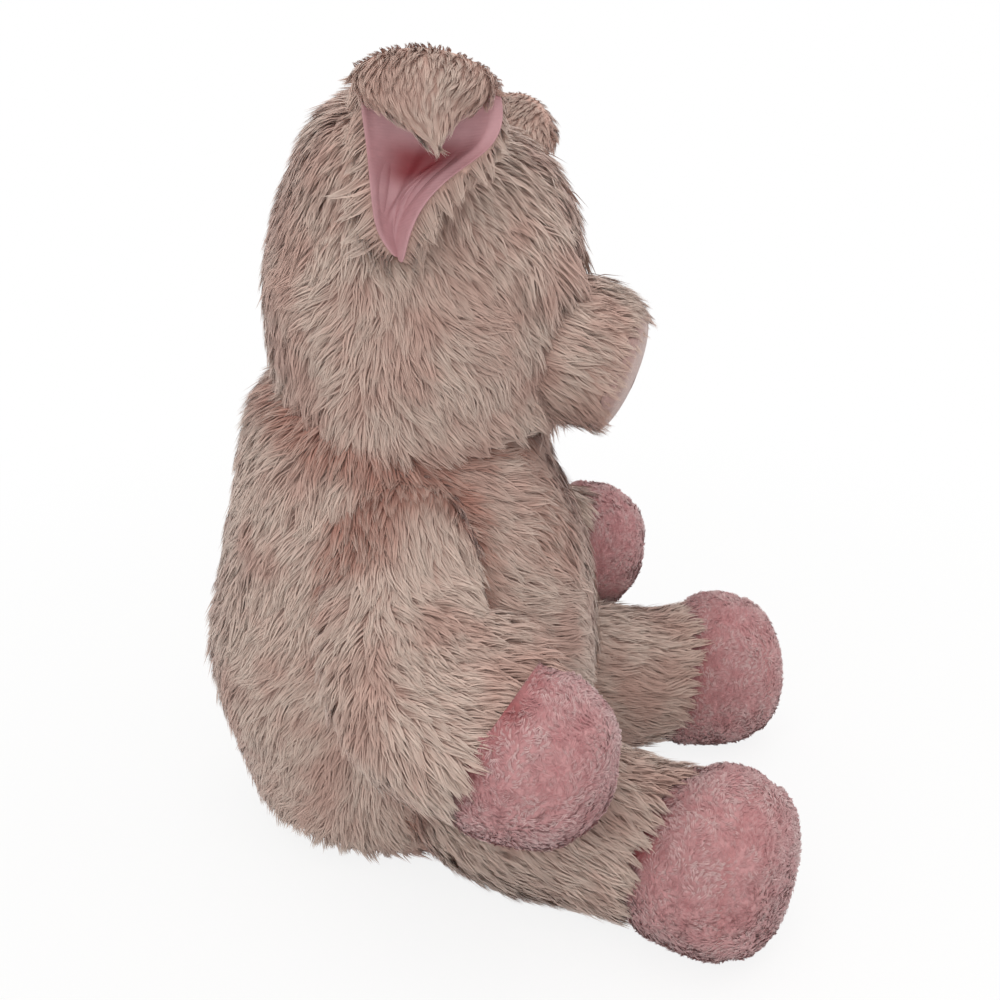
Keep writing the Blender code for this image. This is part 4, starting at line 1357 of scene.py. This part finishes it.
def make_ear(side_name, side):
    body = f"ear_{side_name}"
    back = ear_sheet(side, -1.0 * MM, EAR_FUR_THICKNESS + 0.2 * MM, levels=3, width=0.93)
    rows, columns, layers = (stored(back, name) for name in ("row", "column", "layer"))

    def pile(places):
        rear = step_between(-columns, 0.5, 1.0) * (1 - step_between(rows, 0.5, 0.6))
        bend = 1 - step_between(np.abs(rows - EAR_RIDGE_ROW), 0.015, 0.06)
        flap = step_between(rows, 0.66, 0.78)
        root = 1 - step_between(rows, 0.2, 0.4)
        return 0.62 - 0.4 * bend + 0.3 * rear + 0.2 * root - 0.17 * flap

    comb_skin(back, ear_comb(side, rows, columns), pile, sway=0.25, seed=4)
    made = bmesh.new()
    made.from_mesh(back)
    made.verts.ensure_lookup_table()
    gone = [
        face
        for face in made.faces
        if sum(layers[vert.index] for vert in face.verts) > 0.85 * len(face.verts)
    ]
    bmesh.ops.delete(made, geom=gone, context="FACES")
    scalp = as_mesh(made, "scalp")
    for mesh in (back, scalp):
        drop_attributes(mesh, "row", "column", "layer")
    add_piece(f"{body}_skin", back, SKIN, body)
    name = f"{body}_fur"
    mesh = grow_pile(
        name, scalp, LOCKS, FUR, EAR_LOCK_SPACING, PILE_LENGTH, swing=0.25, lift=0.1
    )
    add_piece(name, mesh, FUR, body, [f"{body}_back"])

    lining = ear_sheet(side, EAR_FUR_THICKNESS - 0.8 * MM, 1.4 * MM, levels=4)
    rows, columns = stored(lining, "row"), stored(lining, "column")
    places, normals = points_of(lining)
    fade = step_between(rows, 0.02, 0.2) * (1 - step_between(np.abs(columns), 0.8, 1.0))
    pleats = 0.9 * np.sin(columns * 5.2 + rows * 7.0 + 0.8)
    pleats += 0.5 * np.sin(columns * 11.0 - rows * 13.0 + 2.0)
    crease = np.exp(-(((rows - 0.2 - 0.16 * columns) / 0.025) ** 2))
    pleats -= 1.3 * crease * (1 - step_between(np.abs(columns + 0.1), 0.3, 0.6))
    places += normals * (pleats * fade * PLEAT_HEIGHT)[:, None]
    move_points(lining, places)
    # Painted shade under the flap's fold, darker and redder, kept as the seam attribute.
    deep = step_between(rows, 0.19, 0.26) * (1 - step_between(rows, 0.29, 0.36))
    deep *= 0.95 - 0.75 * step_between(np.abs(columns), 0.3, 0.9)
    store(lining, "seam", deep)
    drop_attributes(lining, "row", "column", "layer")
    nodes = [f"{body}_lining"]
    add_piece(f"{body}_satin", lining, SATIN, body, nodes)


# Limbs

def seam_share(places, planes, width):
    """How near each point is to a seam, from 1 on it to 0 a width away."""
    nearest = np.full(len(places), 1e3)
    for point, normal in planes:
        away = np.abs((places - np.array(point)) @ np.array(normal))
        nearest = np.minimum(nearest, away)
    return 1 - step_between(nearest, 0.0, width)


def make_limb(body, skin, rows, across, ankle, face, comb, names):
    """Sleeve fur over its skin, and a velour hoof with its end face and its short nap."""
    sleeve_nodes, hoof_nodes, core = names
    point, along = ankle
    ahead = np.array(point)
    inward = -np.array(across) if "arm" in body else np.zeros(3)

    def past_seam(places):
        return (places - ahead) @ np.array(along)

    def sleeve_pile(places):
        _, normals = points_of(skin)
        top = step_between(places[:, 2], 142 * MM, 160 * MM)
        cuff = step_between(past_seam(places), -32 * MM, -14 * MM)
        thin = 0.4 * step_between(normals @ inward, 0.0, 0.6) * (1 - cuff)
        return (0.95 - 0.25 * top) * (1 - thin + 0.15 * cuff)

    comb_skin(skin, comb, sleeve_pile, sway=0.45, seed=6)
    places, normals = points_of(skin)
    hidden = step_between(past_seam(places), -4 * MM, 6 * MM)
    move_points(skin, places - normals * (hidden * SLEEVE_END_SHRINK)[:, None])
    add_piece(f"{body}_skin", skin, SKIN, body, [core])

    def on_sleeve(centre):
        ragged = noise.noise(centre / (9 * MM)) * 8 * MM
        return (centre - point).dot(along) < ragged - 3 * MM

    grow_fur(f"{body}_fur", part_of(skin, on_sleeve), body, *sleeve_nodes)

    form = soft_form(rows, across, LIMB_SIDES, HOOF_LEVELS, HOOF_FULLNESS)
    hoof = cut_off(form, point, along)
    lie_on_floor(hoof)
    places, normals = points_of(hoof)
    near = seam_share(places, (face,), 4 * MM)
    past = past_seam(places)
    pinch = (1 - step_between(past, 0, HOOF_PINCH_REACH)) * HOOF_PINCH
    sideways = places - ahead - np.outer(past, along)
    pinch *= step_between(np.linalg.norm(sideways, axis=1), 0, 15 * MM)
    sideways = unit(sideways)
    moved = places - normals * (near * 0.7 * MM)[:, None] - sideways * pinch[:, None]
    move_points(hoof, moved)
    lie_on_floor(hoof)
    # Painted shade in the ankle's pinch, added to the darker seam at the sole's edge.
    ankle_pinch_shade = seam_share(places, (ankle,), 13 * MM)
    ankle_pinch_shade *= 0.65 + 0.6 * wander(places, 12 * MM, 31)
    seam = np.clip(near**3 * 0.35 + ankle_pinch_shade, 0, 1)
    store(hoof, "seam", seam)
    nap = hoof.copy()

    def nap_length(places):
        return 1.0 - 0.25 * near

    def any_way(places, normals):
        flow = np.cross(normals, np.array(along))
        return turned_about(flow, normals, wander(places, 13 * MM, 21) * 3.5)

    comb_skin(nap, any_way, nap_length, sway=0.8, seed=8)
    # The nap's crease colour follows the same seam darkening and painted ankle shade.
    store(nap, "crease", seam)
    nap = part_of(nap, lambda c: (c - point).dot(along) > 1 * MM and c.z > 1 * MM)
    drop_attributes(nap, "seam")
    name = f"{hoof_nodes[0]}_nap"
    mesh = grow_pile(
        name, nap, TUFTS, NAP, TUFT_SPACING, NAP_LENGTH, swing=0.9, lift=0.3
    )
    add_piece(name, mesh, NAP, body)
    name = f"{hoof_nodes[0]}_velour"
    add_piece(name, hoof, VELOUR, body, hoof_nodes)


def make_leg(side_name, side, skin):
    along = leg_direction(side)
    start = leg_start(side)
    seam = (along - Vector(Z_AXIS) * SEAM_LEAN["leg"]).normalized()
    ankle = (start + along * (ANKLE_SHARE * LEG_LENGTH), seam)
    face = (start + along * (SOLE_SHARE * LEG_LENGTH), along)
    flow = along + Vector((0, 0, -0.35))
    names = (
        (f"leg_{side_name}_top", f"leg_{side_name}_under"),
        (f"foot_{side_name}_cover", f"foot_{side_name}_sole"),
        f"leg_{side_name}_stuffing",
    )
    rows = leg_rows(side)
    make_limb(f"leg_{side_name}", skin, rows, Z_AXIS, ankle, face, everywhere(flow), names)


def make_arm(side_name, side, skin):
    rows = arm_rows(side)
    wrist_row, hand_row, tip = (Vector(rows[row][:3]) for row in (-4, -3, -1))
    along = (hand_row - wrist_row).normalized()
    seam = (along - Vector(Z_AXIS) * SEAM_LEAN["arm"]).normalized()
    wrist = wrist_row.lerp(hand_row, WRIST_SHARE) - along * WRIST_SET_BACK
    ankle = (wrist, seam)
    face = (hand_row.lerp(tip, PALM_SHARE), along)

    def flow(places, normals):
        back = step_between(places[:, 1], 10 * MM, 52 * MM)
        top = step_between(places[:, 2], 132 * MM, 158 * MM)
        moved = np.zeros_like(places)
        moved[:, 2] = -0.6 - 0.35 * back
        moved[:, 1] = -0.85 + 1.05 * back
        moved[:, 0] = side * (0.1 + 2.2 * top)
        return moved

    names = (
        (f"arm_{side_name}_outer", f"arm_{side_name}_inner"),
        (f"hand_{side_name}_cover", f"hand_{side_name}_palm"),
        f"arm_{side_name}_stuffing",
    )
    outward = flank_normal(side)
    make_limb(f"arm_{side_name}", skin, rows, outward, ankle, face, flow, names)


def dress_cad_nodes():
    """Eyes, washers and the neck's seam keep their CAD shape and get a finish."""
    finishes = (("eye_right", EYE), ("eye_left", EYE), ("neck_seam", THREAD))
    finishes += (("eye_washer_right", WASHER), ("eye_washer_left", WASHER))
    for name, material in finishes:
        node = frame["nodes"][name]
        for slot in node.material_slots:
            slot.material = material


add_camera()
add_studio()
SKINS = make_skins()
make_torso(SKINS)
make_head(SKINS)
make_snout()
for side_name, side in SIDES.items():
    make_nostril(side_name, side)
    make_ear(side_name, side)
    make_arm(side_name, side, SKINS[f"arm_{side_name}"])
    make_leg(side_name, side, SKINS[f"leg_{side_name}"])
dress_cad_nodes()
for collection in (LOCKS, TUFTS):
    for lock in list(collection.objects):
        bpy.data.objects.remove(lock)
    bpy.data.collections.remove(collection)
